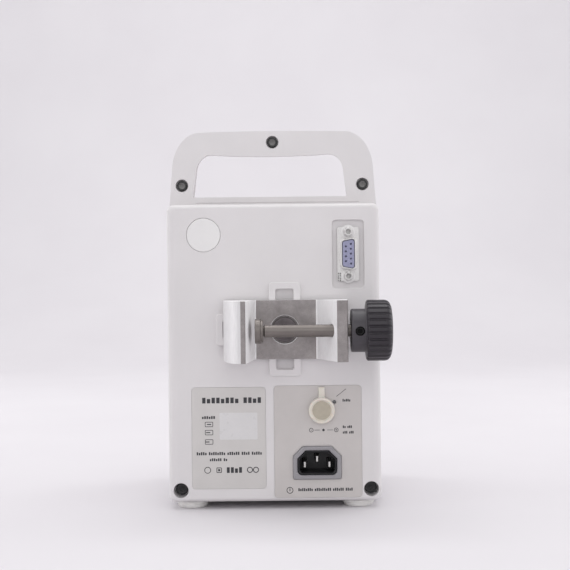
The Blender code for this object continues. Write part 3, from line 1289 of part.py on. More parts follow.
def fingers():
    """Pumping fingers, standing where their cams would hold them."""
    rear_y = CAM_Y - CAM_RADIUS - CAM_THROW - GAP
    for index in range(FINGERS):
        push = CAM_THROW * (1.0 + math.cos(finger_phase(index)))
        back = rear_y - push
        front = back - FINGER_LENGTH
        half = FINGER_WIDTH / 2.0
        slope, nose = FINGER_NOSE
        outline = [(CAM_X + half, back), (CAM_X - half, back), (CAM_X - half, front + slope)]
        outline += [(CAM_X - nose, front), (CAM_X + nose, front), (CAM_X + half, front + slope)]
        bm = bmesh.new()
        middle = finger_height(index)
        add_prism(bm, "Z", middle - FINGER_THICKNESS / 2.0, middle + FINGER_THICKNESS / 2.0, outline)
        make_part(f"pump_finger_{index + 1}", bm, NYLON)


# ---------------------------------------------------------------- electronics

def board_with_blocks(name, boxes):
    """A circuit board with its larger components as joined blocks."""
    board, *blocks = boxes
    bm = bmesh.new()
    add_box(bm, *board)
    part = make_part(name, bm, BOARD_GREEN)
    bm = bmesh.new()
    for corners in blocks:
        add_box(bm, *corners)
    combine(part, "UNION", bm)


def battery_pack():
    """Rechargeable pack in the bottom of the housing."""
    low_z, high_z = BATTERY_Z
    bm = bmesh.new()
    add_prism(bm, "Z", low_z, high_z, box_outline(*BATTERY_SIDES, BATTERY_CORNER))
    bevel_where(bm, *BATTERY_EDGE, lambda point: close_to(point.z, low_z) or close_to(point.z, high_z))
    make_part("battery_pack", bm, CELL_BLUE)


def clear_scene():
    """Starts from an empty scene."""
    for existing in list(bpy.data.objects):
        bpy.data.objects.remove(existing, do_unlink=True)


def build():
    """Makes every piece of the pump."""
    clear_scene()
    make_root()
    rear_shell()
    front_shell()
    shell_screws()
    feet()
    label("rating_label", RATING_LABEL, None)
    label("inlet_label", INLET_LABEL, inlet_label_holes())
    blanking_plug()
    serial_port()
    mains_inlet()
    dc_jack()
    dc_cap()
    reset_button()
    clamp_bracket()
    clamp_bolt()
    clamp_screw()
    control_bezel()
    display_window()
    keys()
    door()
    door_hinge_pin()
    latch_lever()
    door_platen()
    bubble_sensor()
    mechanism_frame()
    camshaft()
    gears()
    motor()
    fingers()
    board_with_blocks("main_board", MAIN_BOARD)
    board_with_blocks("power_module", POWER_MODULE)
    battery_pack()


build()
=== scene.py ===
"""Looks for a portable infusion pump with a pole clamp: fine meshes, materials, light and camera.

Shapes are drawn in millimetres in pump coordinates: X is 0 on the middle of the housing, Y is 0 on
the rear panel and points back, Z is height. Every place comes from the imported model.
"""

import math

import bmesh
import bpy
from mathutils import Matrix, Vector


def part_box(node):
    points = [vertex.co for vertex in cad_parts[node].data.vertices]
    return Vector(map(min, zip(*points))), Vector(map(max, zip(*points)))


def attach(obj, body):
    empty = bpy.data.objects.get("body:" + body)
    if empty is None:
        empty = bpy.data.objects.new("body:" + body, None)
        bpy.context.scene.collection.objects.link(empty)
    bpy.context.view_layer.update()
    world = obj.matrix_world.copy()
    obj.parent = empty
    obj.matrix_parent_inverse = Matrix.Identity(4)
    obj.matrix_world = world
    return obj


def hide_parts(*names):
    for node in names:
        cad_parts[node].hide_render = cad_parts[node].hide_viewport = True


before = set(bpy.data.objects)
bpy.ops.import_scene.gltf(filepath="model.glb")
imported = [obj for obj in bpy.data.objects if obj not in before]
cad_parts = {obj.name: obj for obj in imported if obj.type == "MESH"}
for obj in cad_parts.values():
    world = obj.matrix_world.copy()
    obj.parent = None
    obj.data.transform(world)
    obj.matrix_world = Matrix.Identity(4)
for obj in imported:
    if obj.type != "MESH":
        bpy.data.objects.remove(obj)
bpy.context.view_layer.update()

MM = 0.001
GAP = 0.3
SEGMENTS = 64
FINE_SEGMENTS = 96
COARSE_SEGMENTS = 32
SAME_PLACE = 0.01
CREASE_ANGLE = math.radians(40.0)
_shell_low, _shell_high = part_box("rear_shell")
ORIGIN = Vector(((_shell_low[0] + _shell_high[0]) / 2.0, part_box("blanking_plug")[1][1], 0.0))


def node_box(node):
    """Lowest and highest corner of a CAD node in pump millimetres."""
    low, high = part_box(node)
    return (Vector(low) - ORIGIN) / MM, (Vector(high) - ORIGIN) / MM


def middle(node):
    """Middle of a CAD node in pump millimetres."""
    low, high = node_box(node)
    return (low + high) / 2.0


def place(node):
    """A node's middle as seen from the back, (x, z)."""
    centre = middle(node)
    return centre.x, centre.z


# Housing: its rear edge is (inset at the sides, rise at top and bottom, depth)
SHELL_LOW, SHELL_HIGH = node_box("rear_shell")
HALF_WIDTH = SHELL_HIGH.x
SPLIT_Y = SHELL_LOW.y
HANDLE_TOP = SHELL_HIGH.z
BODY_BOTTOM, BODY_TOP = (corner.z for corner in node_box("control_bezel"))
FRONT_Y = node_box("control_bezel")[1].y + GAP
BODY_CORNER = 4.0
BODY_CORNER_MIN = 1.0
REAR_EDGE = (5.0, 2.4, 3.2)
REAR_EDGE_STEPS = 12
FRONT_EDGE = 2.0
WALL = 2.5
OVERCUT = 1.0

# Handle: its arch is (foot, half width at the shoulder, top, rise of the middle, corner radii), the
# grip's is the same with only the foot's half width, and the crease is (width, height, x, z)
HANDLE_BACK_Y = -20.0
HANDLE_FRONT_Y = -50.0
HANDLE_EDGE = 3.2
HANDLE_ARCH = ((60.6, BODY_TOP - 4.7), 58.6, HANDLE_TOP - 0.5, 0.5, (16.5, 22.7))
ARCH_SHARES = (0.15, 0.3, 0.45, 0.6, 0.75, 0.9)
GRIP_ARCH = (44.9, 43.0, 202.9, -1.2, (8.6, 11.6))
GRIP_FLARE = (1.6, 3.0)
GRIP_FLOOR = 178.2
GRIP_SHIFT = 1.7
CREASE = (95.0, 1.1, -2.6, 174.6)
CREASE_FLOOR = (94.0, 0.2, 0.09)
CREASE_CORNER = 0.5
CREASE_DEPTH = 0.45

# Screws and the clamp's boss: bores are (radius, depth), towers inside the shell (radius, end)
HANDLE_SCREWS = ("handle_screw_left", "handle_screw_right", "handle_screw_top")
PANEL_SCREWS = ("panel_screw_left", "panel_screw_right")
HANDLE_BORE = (3.65, 2.9)
PANEL_BORE = (4.25, 9.0)
BOSS = place("clamp_bolt")
BOSS_ARM = 17.9
BOSS_TALL = 53.2
BOSS_WIDE = 77.6
BOSS_RIM = 3.9
BOSS_HEIGHT = 2.0
BOSS_ROOT = -1.5
BOSS_CORNER = 1.9
SLOT_CORNER = 1.2
SLOT_DEPTH = 1.0
SCREW_TOWER = (5.6, -1.0)
BOLT_TOWER = (6.5, -12.0)
BOLT_BORE = (3.4, -13.0, 3.0)
LABELS = ("rating_label", "inlet_label")
LABEL_POCKET = 0.5
LABEL_CORNER = 2.0
LABEL_PLAY = 0.08

# Rear panel fittings: pockets and openings are (width, height, corner, floor), the inlet's is
# (width, height, chamfer, corner), and the reset's bores are the shell's and the label's
PORT = place("serial_port_shell")
INLET = place("mains_inlet_bezel")
JACK = place("dc_jack")
RESET = place("reset_button")
PLUG = place("blanking_plug")
THROUGH_Y = -3.5
PORT_POCKET = (17.9, 38.6, 2.0, -1.7)
PORT_OPENINGS = ((9.4, 18.8, 1.5, THROUGH_Y), (13.2, 31.5, 1.8, -2.1))
PORT_OPENING_TOP = -0.8
PORT_TAPER = 0.8
INLET_OPENING = (24.6, 16.1, 5.0, 1.5)
PLUG_BORE = 9.7
JACK_BORE = 5.6
RESET_BORE = (1.0, 1.2)

# Clamp: the screw's axis as (y, z), and the web's face
ROD = (node_box("clamp_rod")[0].y + node_box("clamp_rod")[1].y) / 2.0, BOSS[1]
WEB_Y = 8.0


# ---- outlines

def arc(centre, radii, start, end, steps):
    """Points on an elliptical arc between two angles in degrees."""
    points = []
    for step in range(steps + 1):
        angle = math.radians(start + (end - start) * step / steps)
        points.append((centre[0] + radii[0] * math.cos(angle), centre[1] + radii[1] * math.sin(angle)))
    return points


def circle(radius, centre=(0.0, 0.0), segments=SEGMENTS):
    """A closed circle."""
    return arc(centre, (radius, radius), 0.0, 360.0 * (segments - 1) / segments, segments - 1)


def hexagon(apothem, centre, segments=SEGMENTS):
    """A hexagon with as many points as the circles it is lofted to."""
    points = []
    half = math.pi / 6.0
    for step in range(segments):
        angle = 2.0 * math.pi * step / segments
        radius = apothem / math.cos((angle + half) % (2.0 * half) - half)
        points.append((centre[0] + radius * math.cos(angle), centre[1] + radius * math.sin(angle)))
    return points


# The corners of a rectangle, as the side of each axis that it lies on and where its arc starts
CORNERS = ((1, 1, 0.0), (-1, 1, 90.0), (-1, -1, 180.0), (1, -1, 270.0))


def sides(low_a, high_a, low_b, high_b, radius, steps=8):
    """A rectangle with round corners, given by its sides."""
    points = []
    for sign_a, sign_b, start in CORNERS:
        corner_a = high_a - radius if sign_a > 0 else low_a + radius
        corner_b = high_b - radius if sign_b > 0 else low_b + radius
        points += arc((corner_a, corner_b), (radius, radius), start, start + 90.0, steps)
    return points


def rounded(width, height, radius, centre=(0.0, 0.0), steps=8):
    """A rectangle with round corners, given by its size and middle."""
    a, b = centre
    return sides(a - width / 2.0, a + width / 2.0, b - height / 2.0, b + height / 2.0, radius, steps)


def chamfered_top(width, height, chamfer, radius, centre, steps=8):
    """A rectangle with two chamfered top corners and two round bottom corners."""
    half, low, high = width / 2.0, centre[1] - height / 2.0, centre[1] + height / 2.0
    x = centre[0]
    points = [(x + half, high - chamfer), (x + half - chamfer, high)]
    points += [(x - half + chamfer, high), (x - half, high - chamfer)]
    points += arc((x - half + radius, low + radius), (radius, radius), 180.0, 270.0, steps)
    points += arc((x + half - radius, low + radius), (radius, radius), 270.0, 360.0, steps)
    return points


def connector(width, height, radius, inset=0.0, steps=8):
    """The D of a nine-way connector, standing upright: its +X side is the shorter one."""
    points = []
    radius -= inset
    for sign_a, sign_b, start in CORNERS:
        reach = height / 2.0 - inset - radius - (PORT_TAPER if sign_a > 0 else 0.0)
        corner = (PORT[0] + sign_a * (width / 2.0 - inset - radius), PORT[1] + sign_b * reach)
        points += arc(corner, (radius, radius), start, start + 90.0, steps)
    return points


# ---- solids

def along(axis, a, b, position):
    """A point in metres, in the model's frame, from its place across an axis and along it."""
    spots = {"X": (position, a, b), "Y": (a, position, b), "Z": (a, b, position)}
    return Vector(spots[axis]) * MM + ORIGIN


def add_loft(bm, axis, sections, ring=False):
    """Outlines joined one to the next, given as (position, outline); a ring closes on itself."""
    loops = [[bm.verts.new(along(axis, a, b, position)) for a, b in outline]
             for position, outline in sections]
    for first, second in zip(loops, loops[1:] + (loops[:1] if ring else [])):
        for i in range(len(first)):
            bm.faces.new((first[i - 1], first[i], second[i], second[i - 1]))
    if not ring:
        bm.faces.new(loops[0])
        bm.faces.new(loops[-1])


def add_turned(bm, axis, centre, profile, segments=SEGMENTS):
    """A turned solid from (position, radius) pairs."""
    add_loft(bm, axis, [(position, circle(radius, centre, segments)) for position, radius in profile])


def rounding(low, high, radius, steps=4, both=False):
    """(position, inset) pairs of a side whose high end, or both ends, are rounded over."""
    turn = [math.radians(90.0 * step / steps) for step in range(steps + 1)]
    top = [(high - radius * (1.0 - math.sin(t)), radius * (1.0 - math.cos(t))) for t in turn]
    bottom = [(low + radius * (1.0 - math.sin(t)), radius * (1.0 - math.cos(t))) for t in reversed(turn)]
    return (bottom if both else [(low, 0.0)]) + top


def bevel_where(bm, width, segments, chosen):
    """Rounds the sharp edges that lie wholly where chosen(point in pump millimetres) is true."""
    edges = [edge for edge in bm.edges
             if all(chosen((vert.co - ORIGIN) / MM) for vert in edge.verts)
             and edge.calc_face_angle(0.0) > CREASE_ANGLE]
    bmesh.ops.bevel(bm, geom=edges, offset=width * MM, segments=segments, profile=0.5, affect="EDGES")


def near(value, wanted):
    """True within a hundredth of a millimetre."""
    return abs(value - wanted) < SAME_PLACE


def make_object(name, bm):
    """An object from a finished bmesh."""
    bmesh.ops.recalc_face_normals(bm, faces=bm.faces)
    mesh = bpy.data.meshes.new(name)
    bm.to_mesh(mesh)
    bm.free()
    made = bpy.data.objects.new(name, mesh)
    bpy.context.scene.collection.objects.link(made)
    return made


def shade(piece, angle=32.0):
    """Smooth shading with crisp edges and flat faces that stay flat."""
    piece.data.shade_smooth()
    piece.data.set_sharp_from_angle(angle=math.radians(angle))
    modifier = piece.modifiers.new("normals", "WEIGHTED_NORMAL")
    modifier.keep_sharp = True
    modifier.weight = 100


def from_face(face, rows, size=0.0):
    """(position, size) pairs from offsets to a face and to a size."""
    return [(face + offset, size + grow) for offset, grow in rows]


def discs(centre, pairs, shape=circle):
    """(position, outline) sections from (position, size) pairs."""
    return [(position, shape(size, centre)) for position, size in pairs]


def from_axis(spot, centre):
    """Distance from an axis along Y."""
    return math.hypot(spot.x - centre[0], spot.z - centre[1])


def paint(piece, look, chosen):
    """Gives a second finish to the faces whose middle in pump millimetres and normal are chosen."""
    piece.data.materials.append(LOOKS[look])
    index = len(piece.data.materials) - 1
    for face in piece.data.polygons:
        if chosen((face.center - ORIGIN) / MM, face.normal):
            face.material_index = index


def combine(piece, bm, operation="DIFFERENCE"):
    """Cuts or joins a tool mesh and keeps only the result."""
    tool = make_object("tool", bm)
    modifier = piece.modifiers.new("cut", "BOOLEAN")
    modifier.operation = operation
    modifier.solver = "EXACT"
    modifier.object = tool
    graph = bpy.context.evaluated_depsgraph_get()
    graph.update()
    made = bpy.data.meshes.new_from_object(piece.evaluated_get(graph))
    piece.modifiers.clear()
    old = piece.data
    piece.data = made
    bpy.data.meshes.remove(old)
    bpy.data.objects.remove(tool, do_unlink=True)


def make_piece(name, bm, look, node, tools=(), body="housing", replaced=True):
    """A visual piece on a body, with a node's finish: it stands for the node or lies on it.

    Tools are (operation, mesh) pairs that are joined or cut before it is shaded.
    """
    piece = make_object(name, bm)
    for operation, mesh in tools:
        combine(piece, mesh, operation)
    piece.data.materials.clear()
    piece.data.materials.append(LOOKS[look])
    shade(piece)
    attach(piece, body)
    if replaced:
        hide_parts(node)
    return piece


# ---- materials

# Where most of a noise lies, and the finishes' noises as (feature size in millimetres, detail)
NOISE_RANGE = (0.3, 0.7)
FLOW_MARKS, MOULD_DUST, MOULD_GLOSS, MOULD_WAVES = (38.0, 3.0), (2.4, 8.0), (11.0, 6.0), (9.0, 2.0)
METAL_STAINS = (9.0, 6.0)
RUBBER_PATCHES, RUBBER_GLOSS, RUBBER_SKIN = (3.0, 6.0), (1.2, 5.0), (0.25, 3.0)
FILM_PATCHES, FILM_FIBRES, FILM_GLOSS, FILM_SKIN = (16.0, 4.0), (0.5, 3.0), (5.0, 4.0), (0.4, 2.0)


class Look:
    """A Principled material under construction."""

    def __init__(self, name, roughness, metallic=0.0, **sockets):
        self.material = bpy.data.materials.new(name)
        self.material.use_nodes = True
        self.nodes = self.material.node_tree.nodes
        self.links = self.material.node_tree.links
        self.shader = self.nodes["Principled BSDF"]
        self.shader.inputs["Roughness"].default_value = roughness
        self.shader.inputs["Metallic"].default_value = metallic
        for socket, value in sockets.items():
            self.shader.inputs[socket.replace("_", " ")].default_value = value
        self.place = self.nodes.new("ShaderNodeTexCoord").outputs["Object"]

    def noise(self, size, detail=4.0, stretch=(1.0, 1.0, 1.0), roughness=0.55):
        """Noise with features about size millimetres across, longer along some axes."""
        mapping = self.nodes.new("ShaderNodeMapping")
        mapping.inputs["Scale"].default_value = [1.0 / (size * MM * part) for part in stretch]
        self.links.new(self.place, mapping.inputs["Vector"])
        made = self.nodes.new("ShaderNodeTexNoise")
        made.inputs["Scale"].default_value = 1.0
        made.inputs["Detail"].default_value = detail
        made.inputs["Roughness"].default_value = roughness
        self.links.new(mapping.outputs["Vector"], made.inputs["Vector"])
        return made.outputs["Fac"]

    def ramp(self, value, low, high):
        """The noise's middle range brought to another range."""
        made = self.nodes.new("ShaderNodeMapRange")
        for socket, number in zip(("From Min", "From Max", "To Min", "To Max"), (*NOISE_RANGE, low, high)):
            made.inputs[socket].default_value = number
        self.links.new(value, made.inputs["Value"])
        return made.outputs["Result"]

    def mottle(self, colour, noise, tints):
        """The colour in patches between two tints."""
        return self.mix(self.ramp(noise, 0.0, 1.0), *[tinted(colour, factor) for factor in tints])

    def mix(self, factor, first, second):
        """Two colours mixed by a node output; each is a colour or an output."""
        made = self.nodes.new("ShaderNodeMix")
        made.data_type = "RGBA"
        for socket, value in ((0, factor), (6, first), (7, second)):
            if isinstance(value, tuple):
                made.inputs[socket].default_value = (*value, 1.0)
            else:
                self.links.new(value, made.inputs[socket])
        return made.outputs[2]

    def colour(self, output):
        """Links the base colour."""
        self.links.new(output, self.shader.inputs["Base Color"])

    def rough(self, noise, roughness, less_by, more_by):
        """Uneven roughness that follows a noise."""
        output = self.ramp(noise, roughness - less_by, roughness + more_by)
        self.links.new(output, self.shader.inputs["Roughness"])

    def bump(self, height, depth, strength=1.0):
        """Bump that is depth millimetres high, over any bump made before."""
        made = self.nodes.new("ShaderNodeBump")
        made.inputs["Strength"].default_value = strength
        made.inputs["Distance"].default_value = depth * MM
        self.links.new(height, made.inputs["Height"])
        normal = self.shader.inputs["Normal"]
        if normal.is_linked:
            self.links.new(normal.links[0].from_socket, made.inputs["Normal"])
        self.links.new(made.outputs["Normal"], normal)


def tinted(colour, factor):
    """A colour made lighter or darker."""
    return tuple(min(channel * factor, 1.0) for channel in colour)


def moulded(name, colour, roughness=0.42, grain=0.35, depth=0.012, **sockets):
    """Moulded plastic: spark-eroded grain, faint flow marks and uneven gloss."""
    look = Look(name, roughness, **sockets)
    base = look.mottle(colour, look.noise(*FLOW_MARKS), (0.965, 1.02))
    dust = look.ramp(look.noise(*MOULD_DUST, roughness=0.7), 0.0, 0.10)
    look.colour(look.mix(dust, base, tinted(colour, 0.90)))
    look.rough(look.noise(*MOULD_GLOSS), roughness, 0.06, 0.07)
    look.bump(look.noise(*MOULD_WAVES), 0.05, 0.35)
    look.bump(look.noise(grain, 2.0), depth)
    return look.material


def metal(name, colour, roughness, size=0.35, stretch=(1.0, 1.0, 1.0), depth=0.01, stain=0.86, metallic=1.0):
    """Metal with fine tool marks along the stretched axis, stains and uneven polish."""
    look = Look(name, roughness, metallic)
    marks = look.noise(size, 5.0, stretch)
    base = look.mottle(colour, look.noise(*METAL_STAINS, roughness=0.65), (stain, 1.04))
    look.colour(look.mix(look.ramp(marks, 0.0, 0.5), base, tinted(colour, 0.72)))
    look.rough(marks, roughness, 0.06, 0.12)
    look.bump(marks, depth)
    return look.material


def rubber(name, colour, roughness=0.65, **sockets):
    """Soft rubber or silicone with a powdery, slightly lumpy skin."""
    look = Look(name, roughness, **sockets)
    look.colour(look.mottle(colour, look.noise(*RUBBER_PATCHES), (0.93, 1.04)))
    look.rough(look.noise(*RUBBER_GLOSS), roughness, 0.08, 0.08)
    look.bump(look.noise(*RUBBER_SKIN), 0.01)
    return look.material


def film(name, colour, roughness=0.38, **sockets):
    """Printed polyester film with faint fibres and a soft sheen."""
    look = Look(name, roughness, **sockets)
    base = look.mottle(colour, look.noise(*FILM_PATCHES), (0.97, 1.03))
    look.colour(look.mix(look.ramp(look.noise(*FILM_FIBRES), 0.0, 0.12), base, tinted(colour, 0.8)))
    look.rough(look.noise(*FILM_GLOSS), roughness, 0.05, 0.08)
    look.bump(look.noise(*FILM_SKIN), 0.004)
    return look.material


def laminate(name, colour):
    """Circuit board laminate with fine tracks."""
    look = Look(name, 0.4)
    tracks = look.noise(1.2, 1.0, (6.0, 6.0, 1.0))
    look.colour(look.mix(look.ramp(tracks, 0.0, 0.7), colour, tinted(colour, 1.9)))
    look.rough(tracks, 0.4, 0.1, 0.1)
    look.bump(tracks, 0.03)
    return look.material


LOOKS = {
    "abs": moulded("white_abs", (0.728, 0.706, 0.71)),
    "plug": moulded("plug_abs", (0.80, 0.79, 0.785), 0.36),
    "grey": moulded("grey_abs", (0.31, 0.30, 0.315), 0.42),
    "black": moulded("black_nylon", (0.012, 0.012, 0.014), 0.38),
    "socket": moulded("blackened_socket", (0.004, 0.004, 0.004), 0.7),
    "knob": moulded("knob_nylon", (0.018, 0.014, 0.02), 0.38, 0.5, 0.02),
    "hub": moulded("hub_nylon", (0.05, 0.045, 0.053), 0.4, 0.5, 0.02),
    "blue": moulded("port_blue", (0.31, 0.315, 0.46), 0.3),
    "nylon": moulded("natural_nylon", (0.68, 0.66, 0.58), 0.45),
    "glass": moulded("smoked_window", (0.012, 0.014, 0.018), 0.1, 6.0, 0.004, Coat_Weight=0.5),
    "label": film("label_film", (0.62, 0.60, 0.585)),
    "port_label": film("port_label_film", (0.58, 0.55, 0.535)),
    "window": film("label_window", (0.69, 0.68, 0.68), 0.3),
    "ink": film("label_ink", (0.035, 0.035, 0.04), 0.5),
    "screen": film("screen_mark", (0.30, 0.62, 0.66), 0.3),
    "foot": rubber("foot_rubber", (0.82, 0.81, 0.79)),
    "silicone": rubber("cap_silicone", (0.76, 0.72, 0.64), 0.42,
                       Subsurface_Weight=0.1, Subsurface_Scale=0.002),
    "thin": rubber("thin_silicone", (0.49, 0.445, 0.36), 0.42),
    "key": rubber("key_silicone", (0.30, 0.34, 0.42), 0.5),
    "stop": rubber("stop_silicone", (0.45, 0.08, 0.06), 0.5),
    "start": rubber("start_silicone", (0.08, 0.32, 0.12), 0.5),
    "aluminium": metal("extruded_aluminium", (0.80, 0.79, 0.795), 0.42, 0.3, (1.0, 1.0, 20.0), 0.006,
                       0.95, 0.45),
    # Lighter, nearly non-metallic copy of the bracket's aluminium: painted highlight on the faces between the
    # jaws
    "painted_highlight": metal("aluminium_painted_highlight", (0.98, 0.96, 0.965), 0.5, 0.3, (1.0, 1.0, 12.0), 0.008, 0.97, 0.05),
    # Darker copy of the bracket's aluminium: painted dark reflection on the web and the jaw tips
    "web": metal("aluminium_painted_dark_reflection", (0.42, 0.39, 0.385), 0.42, 0.6, depth=0.05, stain=0.55),
    "steel": metal("drawn_steel", (0.23, 0.208, 0.195), 0.36, 0.35, (40.0, 1.0, 1.0), 0.008),
    "plated": metal("nickel_plate", (0.70, 0.69, 0.67), 0.28),
    "tin": metal("tinned_shell", (0.78, 0.77, 0.76), 0.45, 0.4, depth=0.006, stain=0.94, metallic=0.6),
    "nut": metal("nickel_nut", (0.80, 0.79, 0.78), 0.5),
    "bolt": metal("bolt_steel", (0.20, 0.18, 0.185), 0.36, 0.8, depth=0.05, stain=0.5),
    "dark": metal("black_oxide", (0.07, 0.07, 0.07), 0.45),
    "zinc": metal("grey_zinc", (0.27, 0.265, 0.26), 0.5),
    "sheet": metal("folded_sheet", (0.66, 0.66, 0.67), 0.35, 0.2, (40.0, 1.0, 1.0)),
    "board": laminate("board_green", (0.03, 0.14, 0.06)),
    "cell": film("cell_wrap", (0.05, 0.11, 0.30)),
}


# ---- housing

def housing_outline(inset, rise=None):
    """The housing seen from the back, less an inset at the sides and a rise at top and bottom."""
    rise = inset if rise is None else rise
    corner = max(BODY_CORNER - rise, BODY_CORNER_MIN)
    return sides(inset - HALF_WIDTH, HALF_WIDTH - inset, BODY_BOTTOM + rise, BODY_TOP - rise, corner)


def arch(foot, shoulder, top, middle_rise, radii):
    """An arch from its foot on +X to its foot on -X; its middle is higher or lower than its corners."""
    right = arc((shoulder - radii[0], top - radii[1]), radii, 0.0, 90.0, 16)
    reach = right[-1][0]
    for share in ARCH_SHARES:
        right.append((reach * (1.0 - share), top + middle_rise * (1.0 - (1.0 - share) ** 2)))
    left = [(-x, z) for x, z in reversed(right)]
    return [foot] + right + [(0.0, top + middle_rise)] + left + [(-foot[0], foot[1])]


def grip_opening(y):
    """The grip's opening, which flares a little towards the front."""
    share = (HANDLE_BACK_Y - y) / (HANDLE_BACK_Y - HANDLE_FRONT_Y)
    side, rise = GRIP_FLARE[0] * share, GRIP_FLARE[1] * share
    foot, shoulder, top, sag, radii = GRIP_ARCH
    outline = arch((foot + side, GRIP_FLOOR), shoulder + side, top + rise, sag, radii)
    return [(x + GRIP_SHIFT, z) for x, z in outline]


def add_handle(bm, low_y, high_y, rounded_y):
    """Half of the handle, with its outer face rounded over."""
    outer, low, high = arch(*HANDLE_ARCH), grip_opening(low_y), grip_opening(high_y)
    add_loft(bm, "Y", [(low_y, outer), (high_y, outer), (high_y, high), (low_y, low)], ring=True)
    bevel_where(bm, HANDLE_EDGE, 8, lambda point: near(point.y, rounded_y))


def tool(add, *calls):
    """One tool mesh from several calls of an adding function."""
    bm = bmesh.new()
    for call in calls:
        add(bm, *call)
    return bm


def less(add, *calls):
    """A cut by one tool mesh from several calls of an adding function."""
    return "DIFFERENCE", tool(add, *calls)


def fine(node, look, add, *call, body="housing"):
    """A piece from one call of an adding function that stands for a node."""
    return make_piece(f"{node}_fine", tool(add, call), look, node, body=body)


def bore(centre, bottom, face_y, radius, flare=0.3):
    """Arguments of a turned drill with a slightly flared mouth at face_y."""
    profile = [(bottom, radius), (face_y - flare, radius), (face_y, radius + flare)]
    return ("Y", centre, profile + [(face_y + OVERCUT, radius + flare)])


def straight(outline, low_y, high_y):
    """Arguments of a plain loft between two heights."""
    return ("Y", [(low_y, outline), (high_y, outline)])


def cross_arms(inset, low_y, edge, corner):
    """The clamp boss's two arms as tools; edge rounds the outer rim, or flares the slot where negative."""
    arms = []
    for size_x, size_z in ((BOSS_ARM, BOSS_TALL), (BOSS_WIDE, BOSS_ARM)):
        sections = []
        for y, shrink in rounding(low_y, BOSS_HEIGHT, abs(edge)):
            grow = 2.0 * (inset + (shrink if edge > 0 else -shrink))
            sections.append((y, rounded(size_x - grow, size_z - grow, corner, BOSS, 6)))
        if edge < 0:
            sections.append((BOSS_HEIGHT + OVERCUT, sections[-1][1]))
        arms.append(tool(add_loft, ("Y", sections)))
    return arms


def flared_pocket(outline, bottom, face_y=0.0, flare=0.2):
    """Arguments of a pocket cutter whose mouth is a little wider; outline(grow) gives its shape."""
    sections = [(bottom, outline(0.0)), (face_y - flare, outline(0.0))]
    return ("Y", sections + [(face_y, outline(flare)), (face_y + OVERCUT, outline(flare))])


def label_outline(node, grow):
    """A label's outline, grown all round."""
    low, high = node_box(node)
    return sides(low.x - grow, high.x + grow, low.z - grow, high.z + grow, LABEL_CORNER + grow)


def rear_solid():
    """The rear shell's outside, up to its elliptical rear edge."""
    width, height, depth = REAR_EDGE
    sections = [(SPLIT_Y, housing_outline(0.0))]
    for step in range(REAR_EDGE_STEPS + 1):
        angle = math.radians(90.0 * step / REAR_EDGE_STEPS)
        share = 1.0 - math.cos(angle)
        sections.append((depth * (math.sin(angle) - 1.0), housing_outline(width * share, height * share)))
    return tool(add_loft, ("Y", sections))


def rear_pockets():
    """Shallow recesses: the port's, the handle's crease and the labels'."""
    def port(grow):
        return rounded(width + 2 * grow, height + 2 * grow, corner + grow, PORT)
    width, height, corner, floor_y = PORT_POCKET
    pockets = [flared_pocket(port, floor_y)]
    spot = CREASE[2:]
    mouth = rounded(*CREASE[:2], CREASE_CORNER, spot)
    sections = [(HANDLE_BACK_Y - CREASE_DEPTH, rounded(*CREASE_FLOOR, spot)), (HANDLE_BACK_Y, mouth)]
    pockets.append(("Y", sections + [(HANDLE_BACK_Y + OVERCUT, mouth)]))
    for node in LABELS:
        pockets.append(flared_pocket(lambda grow, node=node: label_outline(node, LABEL_PLAY + grow),
                                     -LABEL_POCKET, 0.0, 0.06))
    return tool(add_loft, *pockets)


def rear_drills():
    """Round holes: the plug's, the jack's, the reset's, the clamp bolt's and the screws'."""
    drills = [bore(PLUG, THROUGH_Y, 0.0, PLUG_BORE, 0.12), bore(JACK, THROUGH_Y, 0.0, JACK_BORE)]
    drills.append(bore(RESET, THROUGH_Y, -0.4, RESET_BORE[0], 0.1))
    radius, low_y, high_y = BOLT_BORE
    drills.append(("Y", BOSS, [(low_y, radius), (high_y, radius)]))
    drills += [bore(place(node), -PANEL_BORE[1], 0.0, PANEL_BORE[0]) for node in PANEL_SCREWS]
    for node in HANDLE_SCREWS:
        drills.append(bore(place(node), HANDLE_BACK_Y - HANDLE_BORE[1], HANDLE_BACK_Y, HANDLE_BORE[0]))
    return tool(add_turned, *drills)


def rear_shell():
    """Rear shell with the back half of the handle and the clamp's boss."""
    tools = [("UNION", tool(add_handle, (SPLIT_Y, HANDLE_BACK_Y, HANDLE_BACK_Y)))]
    tools += [("UNION", arm) for arm in cross_arms(0.0, BOSS_ROOT, 0.5, BOSS_CORNER)]
    tools.append(less(add_loft, straight(housing_outline(WALL), SPLIT_Y - OVERCUT, -WALL)))
    radius, high_y = SCREW_TOWER
    towers = [("Y", place(node), [(SPLIT_Y + 0.4, radius), (high_y, radius)]) for node in PANEL_SCREWS]
    radius, low_y = BOLT_TOWER
    towers.append(("Y", BOSS, [(low_y, radius), (BOSS_ROOT, radius)]))
    tools.append(("UNION", tool(add_turned, *towers)))
    tools += [("DIFFERENCE", arm) for arm in cross_arms(BOSS_RIM, -SLOT_DEPTH, -0.4, SLOT_CORNER)]
    tools.append(("DIFFERENCE", rear_pockets()))
    openings = [straight(rounded(width, height, corner, PORT), low_y, PORT_OPENING_TOP)
                for width, height, corner, low_y in PORT_OPENINGS]
    openings.append(straight(chamfered_top(*INLET_OPENING, INLET), THROUGH_Y, OVERCUT))
    tools += [less(add_loft, *openings), ("DIFFERENCE", rear_drills())]
    make_piece("rear_shell_moulding", rear_solid(), "abs", "rear_shell", tools)


# Hinge lugs as (low x, high x, corner), and how far they reach past and along the pin
LUG = (53.4, 60.0, 1.6)
LUG_REACH = (1.5, 4.5)
LUG_ROOT = 2.2
DRIVE_OPENING = (-52.0, 6.0, 22.0, 156.0, 3.0)
PIN_BORE = 1.4


def lug_heights():
    """Heights of the lower and the upper hinge lug."""
    low, high = (corner.z for corner in node_box("door_hinge_pin"))
    past, along_pin = LUG_REACH
    return (low - past, low + along_pin), (high - along_pin, high + past)


